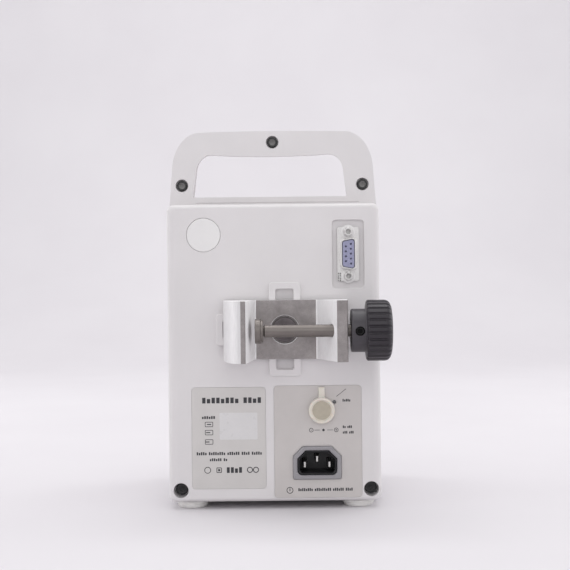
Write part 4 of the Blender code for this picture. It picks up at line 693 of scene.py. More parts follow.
def front_shell():
    """Front shell with the front half of the handle and the hinge lugs."""
    back_y = SPLIT_Y - GAP
    bm = tool(add_loft, straight(housing_outline(0.0), FRONT_Y, back_y))
    bevel_where(bm, FRONT_EDGE, 6, lambda point: near(point.y, FRONT_Y))
    tools = [("UNION", tool(add_handle, (HANDLE_FRONT_Y, back_y, HANDLE_FRONT_Y)))]
    lug = sides(*LUG[:2], node_box("front_shell")[0].y, FRONT_Y + LUG_ROOT, LUG[2])
    lugs = [("Z", [(z, lug) for z in heights]) for heights in lug_heights()]
    tools.append(("UNION", tool(add_loft, *lugs)))
    tools.append(less(add_loft, straight(housing_outline(WALL), FRONT_Y + WALL, back_y + OVERCUT)))
    first, last = node_box("pump_finger_1"), node_box("pump_finger_6")
    slit = sides(first[0].x - GAP, first[1].x + GAP, first[0].z - 0.4, last[1].z + 0.4, 0.3, 3)
    openings = [straight(outline, FRONT_Y - OVERCUT, FRONT_Y + WALL + OVERCUT)
                for outline in (sides(*DRIVE_OPENING), slit)]
    tools.append(less(add_loft, *openings))
    low, high = node_box("door_hinge_pin")
    drill = [(low.z - GAP, PIN_BORE), (high.z + GAP, PIN_BORE)]
    pin = middle("door_hinge_pin")
    tools.append(less(add_turned, ("Z", (pin.x, pin.y), drill, COARSE_SEGMENTS)))
    make_piece("front_shell_moulding", bm, "abs", "front_shell", tools)


def screw_sections(node, shank, head, edge, socket):
    """A socket-head screw along Y: shank radius, head (height, radius), edge and socket rows."""
    low, high = node_box(node)
    centre = place(node)
    height, radius = head
    neck = high.y - height
    pairs = [(low.y, shank - 0.4), (low.y + 0.5, shank), (neck, shank), (neck, radius - edge[0])]
    pairs += [(y, radius - shrink) for y, shrink in rounding(high.y - edge[1], high.y, edge[2])]
    mouth, upper, lower, floor = from_face(high.y, socket)
    return discs(centre, pairs + [mouth]) + discs(centre, (upper, lower), hexagon) + discs(centre, [floor])


SCREW_SOCKET = ((0.0, 1.75), (-0.15, 1.35), (-1.3, 1.3), (-1.6, 0.3))
BOLT_SOCKET = ((0.0, 3.6), (-0.35, 2.7), (-1.7, 2.5), (-2.0, 0.4))


def shell_screws():
    """Black socket-head screws that hold the shells together; the handle's are grey inside a dark rim on the
    head, painted shade of the gap to the bore.
    """
    for node in HANDLE_SCREWS + PANEL_SCREWS:
        look = "zinc" if node in HANDLE_SCREWS else "dark"
        low, high = node_box(node)
        centre, radius = place(node), (high.x - low.x) / 2.0
        sections = screw_sections(node, 1.5, (2.0, radius), (0.1, 1.9, 0.45), SCREW_SOCKET)
        piece = fine(node, look, add_loft, "Y", sections)
        # Dark rim on each head: on the handle's grey screws it is painted shade of the gap between head and
        # bore
        paint(piece, "dark", lambda spot, _: from_axis(spot, centre) > radius - 1.1)


# A foot's profile, as (height, radius beyond its own): its sole from the floor, the rest from its top
SOLE = ((0.0, -4.0), (0.0, -2.0), (0.15, -1.5), (0.6, -1.1))
FOOT_SIDE = ((-1.6, -0.35), (-1.4, -0.6), (-1.1, -0.6), (-0.9, -0.15), (-0.3, 0.0), (0.0, -0.2))


def feet():
    """Four rubber feet with a soft lower edge and a moulded groove."""
    for depth in ("rear", "front"):
        for side in ("left", "right"):
            node = f"foot_{depth}_{side}"
            low, high = node_box(node)
            radius = (high.x - low.x) / 2.0
            profile = from_face(0.0, SOLE, radius) + from_face(high.z, FOOT_SIDE, radius)
            centre = middle(node)
            fine(node, "foot", add_turned, "Z", (centre.x, centre.y), profile)


# ---- rear panel

INK_HEIGHT = 0.03
INK_ROOT = 0.05
LOW_LETTER, BAR_SHARE, WORD_GAP = 0.78, 0.72, 0.8


def ink(base_y, outline):
    """Arguments of a printed mark's loft."""
    return straight(outline, base_y - INK_ROOT, base_y + INK_HEIGHT)


def add_mark(bm, x, z, width, height, base_y, radius=0.12):
    """A printed bar, from its middle."""
    radius = min(radius, width * 0.45, height * 0.45)
    add_loft(bm, *ink(base_y, rounded(width, height, radius, (x, z), 3)))


def add_words(bm, left_x, z, height, words, base_y, pitch=0.62):
    """A line of plain bars, one for each letter of an imagined word, running towards -X."""
    width = height * pitch
    x = left_x
    for letters in words:
        for letter in range(letters):
            tall = height * (1.0 if (letter * 7 + letters) % 3 else LOW_LETTER)
            add_mark(bm, x - width / 2.0, z - (height - tall) / 2.0, width * BAR_SHARE, tall, base_y)
            x -= width
        x -= width * WORD_GAP


def add_outline_mark(bm, outer, inner, base_y):
    """A printed outline between two closed shapes."""
    low_y, high_y = base_y - INK_ROOT, base_y + INK_HEIGHT
    add_loft(bm, "Y", [(low_y, outer), (high_y, outer), (high_y, inner), (low_y, inner)], ring=True)


def add_ring(bm, x, z, radius, line, base_y):
    """A printed ring."""
    outer, inner = (circle(reach, (x, z), COARSE_SEGMENTS) for reach in (radius, radius - line))
    add_outline_mark(bm, outer, inner, base_y)


def add_frame_mark(bm, x, z, width, height, line, base_y):
    """A printed rectangle outline."""
    inner = rounded(width - 2 * line, height - 2 * line, 0.2, (x, z), 3)
    add_outline_mark(bm, rounded(width, height, 0.4, (x, z), 3), inner, base_y)


def label_film(node, look, holes=None):
    """A label's film with softly rounded corners; returns its face height."""
    low, high = node_box(node)
    sections = [(y, label_outline(node, -inset)) for y, inset in rounding(low.y, high.y, 0.08, 2)]
    bm = tool(add_loft, ("Y", sections))
    make_piece(f"{node}_film", bm, look, node, [("DIFFERENCE", holes)] if holes else ())
    return high.y


# Left label, from its top corner on +X: lines of bars as (across, down, height, words, pitch),
# the rows of the three framed marks, rings as (across, down, radius, line) and the paler window
RATING_LINES = (
    (5.6, 7.3, 3.2, (8, 4), 0.83), (5.6, 16.9, 1.6, (6,), 0.8), (2.4, 37.3, 1.75, (5, 8, 6, 4, 5), 0.68),
    (9.8, 40.8, 1.6, (6, 2), 0.72), (19.2, 46.7, 3.2, (4,), 0.72),
)
RATING_ROWS = (9.7, (20.8, 25.4, 30.7))
RATING_RINGS = ((8.7, 46.7, 1.9, 0.4), (32.6, 46.7, 1.7, 0.5), (36.0, 46.7, 1.7, 0.5))
RATING_SQUARE = (15.2, 46.7)
RATING_WINDOW = (26.4, 21.9, 21.4, 15.2)

# Right label, in pump coordinates: lines of bars and rings as above, bars as (x, z, width, height)
POLARITY_Z = 44.5
INLET_LINES = (
    (-38.3, 61.2, 1.5, (5,)), (-38.3, 46.2, 1.5, (2, 3)), (-38.3, 43.1, 1.5, (3, 3)),
    (-12.8, 10.9, 1.7, (8, 9, 6, 4)),
)
INLET_RINGS = ((-20.6, POLARITY_Z, 1.25, 0.32), (-34.7, POLARITY_Z, 1.25, 0.32), (-8.2, 10.6, 1.9, 0.4))
INLET_BARS = (
    (-20.6, POLARITY_Z, 1.0, 0.3), (-34.7, POLARITY_Z, 1.0, 0.3), (-34.7, POLARITY_Z, 0.3, 1.0),
    (-23.9, POLARITY_Z, 3.2, 0.28), (-31.2, POLARITY_Z, 3.2, 0.28), (-8.2, 10.9, 0.45, 1.6),
)
INLET_DOT = (0.75, (-27.5, POLARITY_Z), 24)
LEADER = (Vector((-35.0, 63.4)), Vector((-40.4, 67.6)), 0.13)


def rating_label():
    """Left label: a heading, three marks beside a paler window, two lines and a row of marks."""
    y = label_film("rating_label", "label")
    low, high = node_box("rating_label")
    left, top = high.x, high.z
    bm = bmesh.new()
    for across, down, height, words, pitch in RATING_LINES:
        add_words(bm, left - across, top - down, height, words, y, pitch)
    across, drops = RATING_ROWS
    for row, drop in enumerate(drops):
        add_frame_mark(bm, left - across, top - drop, 4.6, 2.9, 0.32, y)
        add_mark(bm, left - across + 0.5 * row, top - drop, 2.4, 0.55, y)
    for across, down, radius, line in RATING_RINGS:
        add_ring(bm, left - across, top - down, radius, line, y)
    across, down = RATING_SQUARE
    add_frame_mark(bm, left - across, top - down, 3.0, 3.0, 0.4, y)
    add_mark(bm, left - across, top - down, 1.2, 1.2, y)
    make_piece("rating_label_print", bm, "ink", "rating_label", replaced=False)
    across, down, width, height = RATING_WINDOW
    bm = tool(add_mark, (left - across, top - down, width, height, y, 0.6))
    make_piece("rating_label_window", bm, "window", "rating_label", replaced=False)


def inlet_label():
    """Right label: the inlet's, jack's and reset's holes, a leader line, a polarity row and three lines."""
    holes = tool(add_loft, straight(chamfered_top(27.8, 19.1, 5.6, 1.3, INLET), -2.0, 2.0))
    add_turned(holes, "Y", JACK, [(-2.0, JACK_BORE), (2.0, JACK_BORE)])
    add_turned(holes, "Y", RESET, [(-2.0, RESET_BORE[1]), (2.0, RESET_BORE[1])], COARSE_SEGMENTS)
    y = label_film("inlet_label", "port_label", holes)
    bm = bmesh.new()
    for ring in INLET_RINGS:
        add_ring(bm, *ring, y)
    for bar in INLET_BARS:
        add_mark(bm, *bar, y)
    for line in INLET_LINES:
        add_words(bm, *line, y)
    start, end, half = LEADER
    across = (end - start).orthogonal().normalized() * half
    leader = [tuple(start + across), tuple(end + across), tuple(end - across), tuple(start - across)]
    for outline in (circle(*INLET_DOT), leader):
        add_loft(bm, *ink(y, outline))
    make_piece("inlet_label_print", bm, "ink", "inlet_label", replaced=False)


def blanking_plug():
    """Round plug with a soft edge in the unused hole at the top."""
    low, high = node_box("blanking_plug")
    radius = (high.x - low.x) / 2.0
    profile = [(low.y, radius - 0.6)]
    profile += [(y, radius - inset) for y, inset in rounding(low.y + 0.5, high.y, 0.55, 6)]
    fine("blanking_plug", "plug", add_turned, "Y", PLUG, profile, 2 * SEGMENTS)


# Port: the D's openings and walls as (width, height, corner), from the inside out
D_BORE, D_LIP, D_RIM, D_WALL, D_ROOT = (
    (7.2, 16.6, 1.6), (7.6, 17.0, 1.8), (8.2, 17.6, 2.0), (8.6, 18.0, 2.2), (9.6, 19.0, 2.7))
FLANGE_Y = (7.1, 7.9)
SOCKET_COLUMNS = ((-1.42, 5), (1.42, 4))
SOCKET_PITCH = 2.77
PORT_PRINT = (5.5, -15.0, 0.95, 1.0)
JACK_WASHER = ((-GAP, 2.6), (0.0, 2.6), (0.0, 3.7), (-0.1, 3.9), (-GAP, 3.9))


def serial_port():
    """Nine-way port: drawn shell with its flange, the insert with nine sockets, two jackscrews."""
    low, high = node_box("serial_port_shell")
    flange_y, front_y = (low.y + height for height in FLANGE_Y)
    width, height = high.x - low.x, high.z - low.z
    drawn = ((low.y, D_BORE), (high.y - 0.2, D_BORE), (high.y, D_LIP), (high.y, D_RIM),
             (high.y - 0.25, D_WALL), (front_y + 0.5, D_WALL), (front_y, D_ROOT))
    sections = [(y, connector(*shape)) for y, shape in drawn]
    sections.append((front_y, rounded(width - 0.3, height - 0.3, 1.4, PORT)))
    sections += [(y, rounded(width, height, 1.5, PORT)) for y in (front_y - 0.2, flange_y)]
    sections += [(y, connector(*D_WALL)) for y in (flange_y, low.y)]
    bm = bmesh.new()
    add_loft(bm, "Y", sections, ring=True)
    make_piece("serial_port_can", bm, "tin", "serial_port_shell")
    serial_insert()
    bm = bmesh.new()
    across, up, column_pitch, row_pitch = PORT_PRINT
    for row in range(5):
        for column in range(2):
            tall = 0.7 if (row + column) % 3 else 0.4
            x, z = PORT[0] + across - column_pitch * column, PORT[1] + up + row_pitch * row
            add_mark(bm, x, z, 0.6, tall, front_y)
    make_piece("serial_port_marks", bm, "ink", "serial_port_shell", replaced=False)
    for node in ("jackscrew_upper", "jackscrew_lower"):
        jackscrew(node)


def serial_insert():
    """Blue insert with two columns of sockets."""
    low, high = node_box("serial_port_insert")
    sections = [(y, connector(6.6, 16.0, 1.4, inset)) for y, inset in rounding(low.y, high.y, 0.25, 3)]
    hole = from_face(high.y, ((-3.0, 0.5), (-0.2, 0.5), (0.2, 0.9)))
    holes = []
    for column, count in SOCKET_COLUMNS:
        for row in range(count):
            centre = (PORT[0] + column, PORT[1] + (row - (count - 1) / 2.0) * SOCKET_PITCH)
            holes.append(("Y", centre, hole, 20))
    cuts = [less(add_turned, *holes)]
    bm = tool(add_loft, ("Y", sections))
    make_piece("serial_port_sockets", bm, "blue", "serial_port_insert", cuts)


def jackscrew(node):
    """Hexagonal jackscrew with a chamfered top and a threaded hole, on its washer."""
    low, high = node_box(node)
    centre = place(node)
    sections = discs(centre, [(low.y, 2.4), (high.y - 0.5, 2.4)], hexagon)
    sections += discs(centre, [(high.y, 2.1), (high.y, 1.55)])
    for turn in range(6):
        depth = high.y - 0.2 - 0.42 * turn
        sections += discs(centre, [(depth, 1.45), (depth - 0.21, 1.22)])
    fine(node, "nut", add_loft, "Y", sections)
    bm = bmesh.new()
    add_loft(bm, "Y", discs(centre, from_face(low.y, JACK_WASHER)), ring=True)
    make_piece(f"{node}_washer", bm, "plug", node, replaced=False)


# Inlet: (offset from the face, growth) rows of the bezel's mouth and of the socket's inside and outside
BEZEL_MOUTH = ((0.0, 0.5), (-0.35, 0.15), (-0.6, 0.0))
SOCKET_INSIDE = ((-0.5, 0.0), (0.0, 0.4))
SOCKET_OUTSIDE = ((0.0, 0.3), (-0.3, 0.0))
PIN_TIP = ((-1.4, 0.0, 0.35), (-0.5, 0.2, 0.3), (0.0, 0.5, 0.2))


def bezel_ring():
    """The raised grey bezel around the inlet."""
    low, high = node_box("mains_inlet_bezel")
    width, height = high.x - low.x, high.z - low.z
    sections = []
    for y, inset in rounding(low.y, high.y, 0.6, 4):
        outline = chamfered_top(width - 2 * inset, height - 2 * inset, 5.6 - inset * 0.6, 1.3 - inset, INLET)
        sections.append((y, outline))
    for y, grow in from_face(high.y, BEZEL_MOUTH) + [(low.y, 0.0)]:
        sections.append((y, chamfered_top(22.4 + 2 * grow, 13.9 + 2 * grow, 4.6 + grow * 0.6, 2.6, INLET)))
    bm = bmesh.new()
    add_loft(bm, "Y", sections, ring=True)
    make_piece("mains_inlet_surround", bm, "grey", "mains_inlet_bezel")


def mains_inlet():
    """Appliance inlet: raised grey bezel, black cavity and three pins."""
    bezel_ring()
    low, high = node_box("mains_inlet_body")
    sections = []
    for y, grow in [(low.y + 3.0, 0.0)] + from_face(high.y, SOCKET_INSIDE):
        sections.append((y, chamfered_top(19.8 + 2 * grow, 11.3 + 2 * grow, 3.8, 1.6, INLET)))
    for y, inset in from_face(high.y, SOCKET_OUTSIDE) + [(low.y, 0.0)]:
        sections.append((y, chamfered_top(21.8 - 2 * inset, 13.3 - 2 * inset, 4.4, 2.4 - inset, INLET)))
    pins = [f"mains_pin_{name}" for name in ("earth", "live", "neutral")]
    slits = [straight(rounded(2.6, 4.6, 0.4, place(pin), 3), low.y - OVERCUT, low.y + 4.0) for pin in pins]
    cuts = [less(add_loft, *slits)]
    bm = tool(add_loft, ("Y", sections))
    make_piece("mains_inlet_socket", bm, "black", "mains_inlet_body", cuts)
    for pin in pins:
        low, high = node_box(pin)
        rows = [(low.y, 0.0, 0.35)] + [(high.y + offset, inset, radius) for offset, inset, radius in PIN_TIP]
        sections = [(y, rounded(2.0 - 2 * inset, 4.0 - 2 * inset, radius, place(pin), 6))
                    for y, inset, radius in rows]
        fine(pin, "plated", add_loft, "Y", sections)


# Cap: rows of the side from its own radius and of the dish from the top, then its strap
CAP_SKIRT = ((0.5, -0.5), (0.65, -0.2), (1.0, 0.0))
CAP_DISH = ((-0.05, -1.2), (-0.5, -1.6), (-1.4, -2.1), (-1.75, -2.8))
CAP_MIDDLE = ((-1.7, 2.0), (-1.6, 0.6))
CAP_PROUD = 1.9
STRAP_HALF = 1.7


def dc_cap():
    """Translucent silicone cap with a dished middle, on a strap that is its hinge."""
    low, high = node_box("dc_cap")
    radius = (high.x - low.x) / 2.0
    top = node_box("mains_inlet_bezel")[1].y + CAP_PROUD
    profile = [(0.5, 3.4)] + from_face(0.0, CAP_SKIRT, radius)
    profile += [(y, radius - inset) for y, inset in rounding(1.4, top, 0.7, 6)]
    profile += from_face(top, CAP_DISH, radius) + from_face(top, CAP_MIDDLE)
    root_z = JACK[1] + 5.4
    outline = arc((1.1, high.z - 0.6), (0.6, 0.6), 0.0, 180.0, 16) + [(0.5, root_z), (1.7, root_z)]
    strap = tool(add_loft, ("X", [(x, outline) for x in (JACK[0] - STRAP_HALF, JACK[0] + STRAP_HALF)]))
    bevel_where(strap, 0.3, 3, lambda spot: spot.z > root_z + 0.1 and near(abs(spot.x - JACK[0]), STRAP_HALF))
    bm = tool(add_turned, ("Y", JACK, profile, FINE_SEGMENTS))
    piece = make_piece("dc_cap_silicone", bm, "silicone", "dc_cap", [("UNION", strap)], body="cap")
    paint(piece, "thin", lambda spot, _: spot.y > 1.2 and from_axis(spot, JACK) < radius - 1.9)


# ---- pole clamp

# Clamp: where its jaws' inner corners are, its counterbore and its screw's hole
JAW_TIP_Y = 37.9
JAW_EDGE = 17.1
COUNTERBORE = (3.4, 8.0, 3.5, 0.22)
ROD_BORE = (3.65, -46.0, -20.0)
INNER_HALF = 17.6


def clamp_outline():
    """The clamp's C seen from above, from the left jaw's heel round the web to the right jaw."""
    low, high = node_box("clamp_bracket")
    outline = arc((JAW_EDGE, low.y), (high.x - JAW_EDGE, high.y - low.y), 0.0, 83.0, 28)
    outline += arc((JAW_EDGE, high.y - 0.8), (0.9, 0.8), 60.0, 90.0, 3)
    outline += arc((15.2, high.y - 0.7), (0.7, 0.7), 90.0, 170.0, 5)
    outline += [(10.55, WEB_Y + 1.0), (10.35, WEB_Y + 0.35), (9.8, WEB_Y)]
    outline += [(-23.7, WEB_Y), (-24.2, WEB_Y + 0.3), (-24.6, WEB_Y + 0.9)]
    outline += arc((-34.1, JAW_TIP_Y), (0.6, 0.6), 160.0, 90.0, 4)
    outline += arc((-39.4, JAW_TIP_Y), (0.6, 0.6), 90.0, 175.0, 5) + [(low.x, low.y)]
    return outline


def at_jaw_tip(spot):
    """True on the narrow faces at the ends of the jaws."""
    return spot.y > 37.0 and (spot.x < -33.0 or 14.5 < spot.x < 17.0)


def inside_jaws(spot):
    """True on the faces between the jaws, less the rims at top and bottom."""
    return -34.0 < spot.x < 14.7 and spot.y > 3.0 and abs(spot.z - BOSS[1]) < INNER_HALF


def on_web(spot, normal):
    """True on the web between the jaws and on its counterbore's floor."""
    return inside_jaws(spot) and spot.y < WEB_Y + 0.05 and normal.y > 0.95


def clamp_bracket():
    """Extruded aluminium bracket: web with a counterbore, two jaws and the screw's hole."""
    low, high = node_box("clamp_bracket")
    bm = tool(add_loft, ("Z", [(z, clamp_outline()) for z in (low.z, high.z)]))
    bevel_where(bm, 0.25, 2, lambda point: near(point.z, low.z) or near(point.z, high.z))
    bolt, head, depth, flare = COUNTERBORE
    profile = [(0.0, bolt), (WEB_Y - depth, bolt), (WEB_Y - depth, head), (WEB_Y - flare, head)]
    profile += [(WEB_Y, head + flare), (WEB_Y + OVERCUT, head + flare)]
    radius, low_x, high_x = ROD_BORE
    cuts = [less(add_turned, ("Y", BOSS, profile), ("X", ROD, [(low_x, radius), (high_x, radius)]))]
    piece = make_piece("clamp_bracket_fine", bm, "aluminium", "clamp_bracket", cuts)
    # Painted highlight: the faces between the jaws get a lighter copy of the aluminium
    paint(piece, "painted_highlight", lambda spot, _: inside_jaws(spot))
    # Painted dark reflection: the jaw tips and the web get a darker copy of the aluminium
    paint(piece, "web", lambda spot, normal: at_jaw_tip(spot) or on_web(spot, normal))


def clamp_bolt():
    """Socket-head bolt in the bracket's counterbore."""
    sections = screw_sections("clamp_bolt", 3.0, (2.6, 6.9), (0.2, 2.4, 0.5), BOLT_SOCKET)
    fine("clamp_bolt", "bolt", add_loft, "Y", sections)


# Clamping screw: (offset, radius) rows from the rod's and the pad's ends
ROD_HEAD = ((0.0, 2.1), (-0.3, 2.4))
ROD_NECK = ((0.0, 2.6), (0.0, 2.9), (-0.4, 3.35))
ROD_END = ((0.4, 3.35), (0.0, 2.95))
PAD_COLLAR = ((0.0, 2.95), (0.0, 5.9), (0.25, 6.15), (1.2, 6.15))
PAD_RIM = ((1.35, -0.25), (1.6, 0.0))


def clamp_rod():
    """Turned clamping rod and its captive pressure pad."""
    low, high = node_box("clamp_rod")
    pad_low, pad_high = node_box("clamp_pad")
    profile = from_face(high.x, ROD_HEAD) + from_face(pad_low.x - 0.5, ROD_NECK) + from_face(low.x, ROD_END)
    fine("clamp_rod", "steel", add_turned, "X", ROD, profile, body="clamp_screw")
    radius = (pad_high.z - pad_low.z) / 2.0
    profile = [(high.x + GAP, 2.0), (high.x + GAP, 2.95)]
    profile += from_face(pad_low.x, PAD_COLLAR) + from_face(pad_low.x, PAD_RIM, radius)
    profile += [(x, radius - inset) for x, inset in rounding(pad_low.x + 1.7, pad_high.x, 0.45)]
    profile.append((pad_high.x, 3.0))
    fine("clamp_pad", "steel", add_turned, "X", ROD, profile, body="clamp_foot")


# Knob: a rib's (share of the pitch, drop), the grip's (inward, shrink, groove depth) and the end's
# (inward, radius) sections, all from the step between grip and hub, then the hub and the grub screw
KNOB_RIBS = 28
RIB = ((0.0, 0.0), (0.12, 0.0), (0.25, 0.0), (0.38, 0.0), (0.5, 0.0), (0.57, 0.3), (0.65, 0.85), (0.75, 1.0),
       (0.85, 0.85), (0.93, 0.3))
RIB_DEPTH = 0.8
GRIP = ((0.0, 1.3, 0.5), (0.15, 0.7, 0.7), (0.5, 0.25, 0.9), (1.1, 0.0, 1.0), (9.6, 0.0, 1.0),
        (10.8, 0.15, 0.95), (11.8, 0.6, 0.75), (12.5, 1.3, 0.45))
KNOB_END = ((13.0, 14.3), (13.4, 13.3), (13.55, 12.4), (13.6, 11.0), (13.35, 9.6), (13.3, 3.0))
HUB_RADIUS = 11.7
HUB_LENGTH = 8.2
HUB_FOOT = ((-2.0, 0.0), (0.0, 0.6), (0.5, 0.05))
GRUB_BORE = ((-0.25, 2.5), (0.3, 2.75), (1.0, 2.75))


def ribbed(radius, depth):
    """The knob's grip: a flat-topped rib and a round groove, over and over."""
    points = []
    for rib in range(KNOB_RIBS):
        for share, drop in RIB:
            angle = 2.0 * math.pi * (rib + share) / KNOB_RIBS
            reach = radius - drop * depth
            points.append((ROD[0] + reach * math.cos(angle), ROD[1] + reach * math.sin(angle)))
    return points


def knob_grip(step_x, radius):
    """The knob's ribbed part, from the step to its outer end."""
    def ring(reach):
        return circle(reach, ROD, len(RIB) * KNOB_RIBS)
    sections = [(step_x + 0.05, ring(12.4))]
    sections += [(step_x - inward, ribbed(radius - shrink, RIB_DEPTH * depth))
                 for inward, shrink, depth in GRIP]
    sections += [(step_x - inward, ring(reach)) for inward, reach in KNOB_END]
    return tool(add_loft, ("X", sections))


def clamp_knob():
    """Ribbed knob with a smooth hub and the grub screw that fixes it to the rod."""
    low, high = node_box("clamp_knob")
    step_x = high.x - HUB_LENGTH
    hub = from_face(step_x, HUB_FOOT, HUB_RADIUS)
    hub += [(x, HUB_RADIUS - inset) for x, inset in rounding(step_x + 1.0, high.x, 0.8, 5)]
    hub.append((high.x, 7.5))
    tools = [("UNION", tool(add_turned, ("X", ROD, hub, FINE_SEGMENTS)))]
    rod_end = [(node_box("clamp_rod")[0].x - GAP, ROD_BORE[0]), (high.x + OVERCUT, ROD_BORE[0])]
    grub = (middle("knob_grub_screw").x, ROD[1])
    hole = [(ROD[0] + 2.0, 2.5)] + from_face(ROD[0] + HUB_RADIUS, GRUB_BORE)
    tools.append(less(add_turned, ("X", ROD, rod_end), ("Y", grub, hole)))
    bm = knob_grip(step_x, (high.z - low.z) / 2.0)
    piece = make_piece("clamp_knob_fine", bm, "knob", "clamp_knob", tools, body="clamp_screw")
    paint(piece, "hub", lambda spot, _: spot.x > step_x + 0.2)
    low, high = node_box("knob_grub_screw")
    pairs = [(low.y, 1.4), (low.y + 0.8, 2.2), (high.y - 0.2, 2.2), (high.y, 2.0), (high.y, 1.5)]
    sections = discs(grub, pairs) + discs(grub, [(high.y - 0.15, 1.2), (high.y - 2.4, 1.2)], hexagon)
    fine("knob_grub_screw", "socket", add_loft, "Y", sections, body="clamp_screw")


# ---- front

KEYS = ("key_start", "key_stop", "key_purge", "key_down", "key_up", "key_menu")

# Bezel: openings as (width, height, corner), and the grille's slots from the floor up
BEZEL_EDGE = 2.8
DISPLAY_OPENING = (57.0, 40.0, 2.0)
KEY_OPENING = (14.0, 9.0, 2.0)
GRILLE_SLOT = (30.0, 2.0, 0.95)
GRILLE_HEIGHTS = (34.0, 39.0, 44.0, 49.0, 54.0)
MOUTH = ((-OVERCUT, 0.3), (0.0, 0.3), (0.3, 0.0))


def control_bezel():
    """Front bezel with the display's and the keys' openings and the speaker grille."""
    low, high = node_box("control_bezel")
    spot = place("display_window")
    bm = tool(add_loft, straight(sides(low.x, high.x, low.z, high.z, BODY_CORNER), low.y, high.y))
    bevel_where(bm, BEZEL_EDGE, 8, lambda point: near(point.y, low.y))
    inner = sides(low.x + WALL, high.x - WALL, low.z + WALL, high.z - WALL, 1.5)
    tools = [less(add_loft, straight(inner, low.y + WALL, high.y + OVERCUT))]
    windows = [(*DISPLAY_OPENING, spot)] + [(*KEY_OPENING, place(key)) for key in KEYS]
    windows += [(*GRILLE_SLOT, (spot[0], z)) for z in GRILLE_HEIGHTS]
    cutters = []
    for width, height, radius, centre in windows:
        rows = from_face(low.y, MOUTH) + [(low.y + WALL + OVERCUT, 0.0)]
        cutters.append(("Y", [(y, rounded(width + 2 * grow, height + 2 * grow, radius + grow, centre))
                              for y, grow in rows]))
    tools.append(less(add_loft, *cutters))
    make_piece("control_bezel_moulding", bm, "abs", "control_bezel", tools)


# Display: the pane's edge, then the page from its middle: columns' heights, lines as (rise, width)
PANE_EDGE = ((0.0, 0.35), (0.1, 0.12), (0.3, 0.0))
COLUMN_HEIGHTS = (4.0, 6.6, 9.2, 11.8, 4.0, 6.6, 9.2)
COLUMN_FOOT = (2.0, -5.6)
PAGE_LINES = ((6.0, 15.0), (0.5, 12.5), (-5.0, 10.0))
PAGE_PITCH = 3.2
PROGRESS_Z = -13.0
PROGRESS_CELLS = 9


def display():
    """Smoked window with a plain page of marks behind its face."""
    low, high = node_box("display_window")
    sections = []
    for y, inset in from_face(low.y, PANE_EDGE) + [(high.y, 0.0)]:
        sections.append((y, sides(low.x + inset, high.x - inset, low.z + inset, high.z - inset, 1.7 - inset)))
    make_piece("display_pane", tool(add_loft, ("Y", sections)), "glass", "display_window")
    x, z = place("display_window")
    face = low.y - INK_HEIGHT + INK_ROOT
    bm = bmesh.new()
    for column, height in enumerate(COLUMN_HEIGHTS):
        foot_x, foot_z = x + COLUMN_FOOT[0] + PAGE_PITCH * column, z + COLUMN_FOOT[1]
        add_mark(bm, foot_x, foot_z + height / 2.0, 2.0, height, face, 0.4)
    for rise, width in PAGE_LINES:
        add_mark(bm, x - 13.0, z + rise, width, 1.6, face, 0.4)
    add_frame_mark(bm, x, z + PROGRESS_Z, 48.0, 5.0, 0.35, face)
    for cell in range(PROGRESS_CELLS):
        add_mark(bm, x + 21.0 - PAGE_PITCH * cell, z + PROGRESS_Z, 2.2, 2.8, face, 0.3)
    make_piece("display_page", bm, "screen", "display_window", replaced=False)


# Keys: (offset, inset) rows of the dome from the face, the dome's and the flange's outlines
KEY_RECESS = 0.12
KEY_DOME = ((0.0, 1.6), (0.04, 1.0), (0.16, 0.5), (0.4, 0.15), (0.7, 0.0))
KEY_SIZE = (13.2, 8.2, 1.9)
KEY_FLANGE = (15.6, 10.6, 1.8)
FLANGE_THICK = 0.8


def key_marks(key):
    """A key's raised marks: triangles, a square or three bars."""
    x, z = place(key)
    return {
        "key_start": [arc((x, z), (2.1, 2.1), 0.0, 240.0, 2)],
        "key_stop": [rounded(3.2, 3.2, 0.4, (x, z), 3)],
        "key_purge": [arc((x + side, z), (1.9, 1.9), 0.0, 240.0, 2) for side in (-1.6, 1.4)],
        "key_down": [arc((x, z), (2.1, 2.1), 270.0, 30.0, 2)],
        "key_up": [arc((x, z), (2.1, 2.1), 90.0, -150.0, 2)],
        "key_menu": [rounded(4.4, 0.7, 0.3, (x, z + rise), 3) for rise in (-1.4, 0.0, 1.4)],
    }[key]


def keys():
    """Six domed keys with plain raised marks."""
    looks = {"key_start": "start", "key_stop": "stop"}
    width, height, corner = KEY_SIZE
    for key in KEYS:
        low, high = node_box(key)
        centre, face = place(key), low.y + KEY_RECESS
        flange_y = high.y - FLANGE_THICK
        sections = [(y, rounded(width - 2 * inset, height - 2 * inset, corner - 0.4 * inset, centre))
                    for y, inset in from_face(face, KEY_DOME) + [(flange_y, 0.0)]]
        sections += [(y, rounded(*KEY_FLANGE, centre)) for y in (flange_y, high.y)]
        make_piece(f"{key}_cap", tool(add_loft, ("Y", sections)), looks.get(key, "key"), key, body=key)
        bm = tool(add_loft, *[straight(outline, low.y, face + 0.1) for outline in key_marks(key)])
        make_piece(f"{key}_mark", bm, "window", key, body=key, replaced=False)


# Door: its outer edge, the latch's recess and the notches for the tube
DOOR_EDGE = 2.0
DOOR_HEEL_EDGE = 1.4
TRAY = (2.2, 3.4, 5.6)
LATCH_RECESS = ((-OVERCUT, 0.3), (0.0, 0.3), (0.3, 0.0), (3.4, 0.0))
LATCH_RECESS_END = 33.0
NOTCH_HALF = 3.0
NOTCH_LONG = 4.0


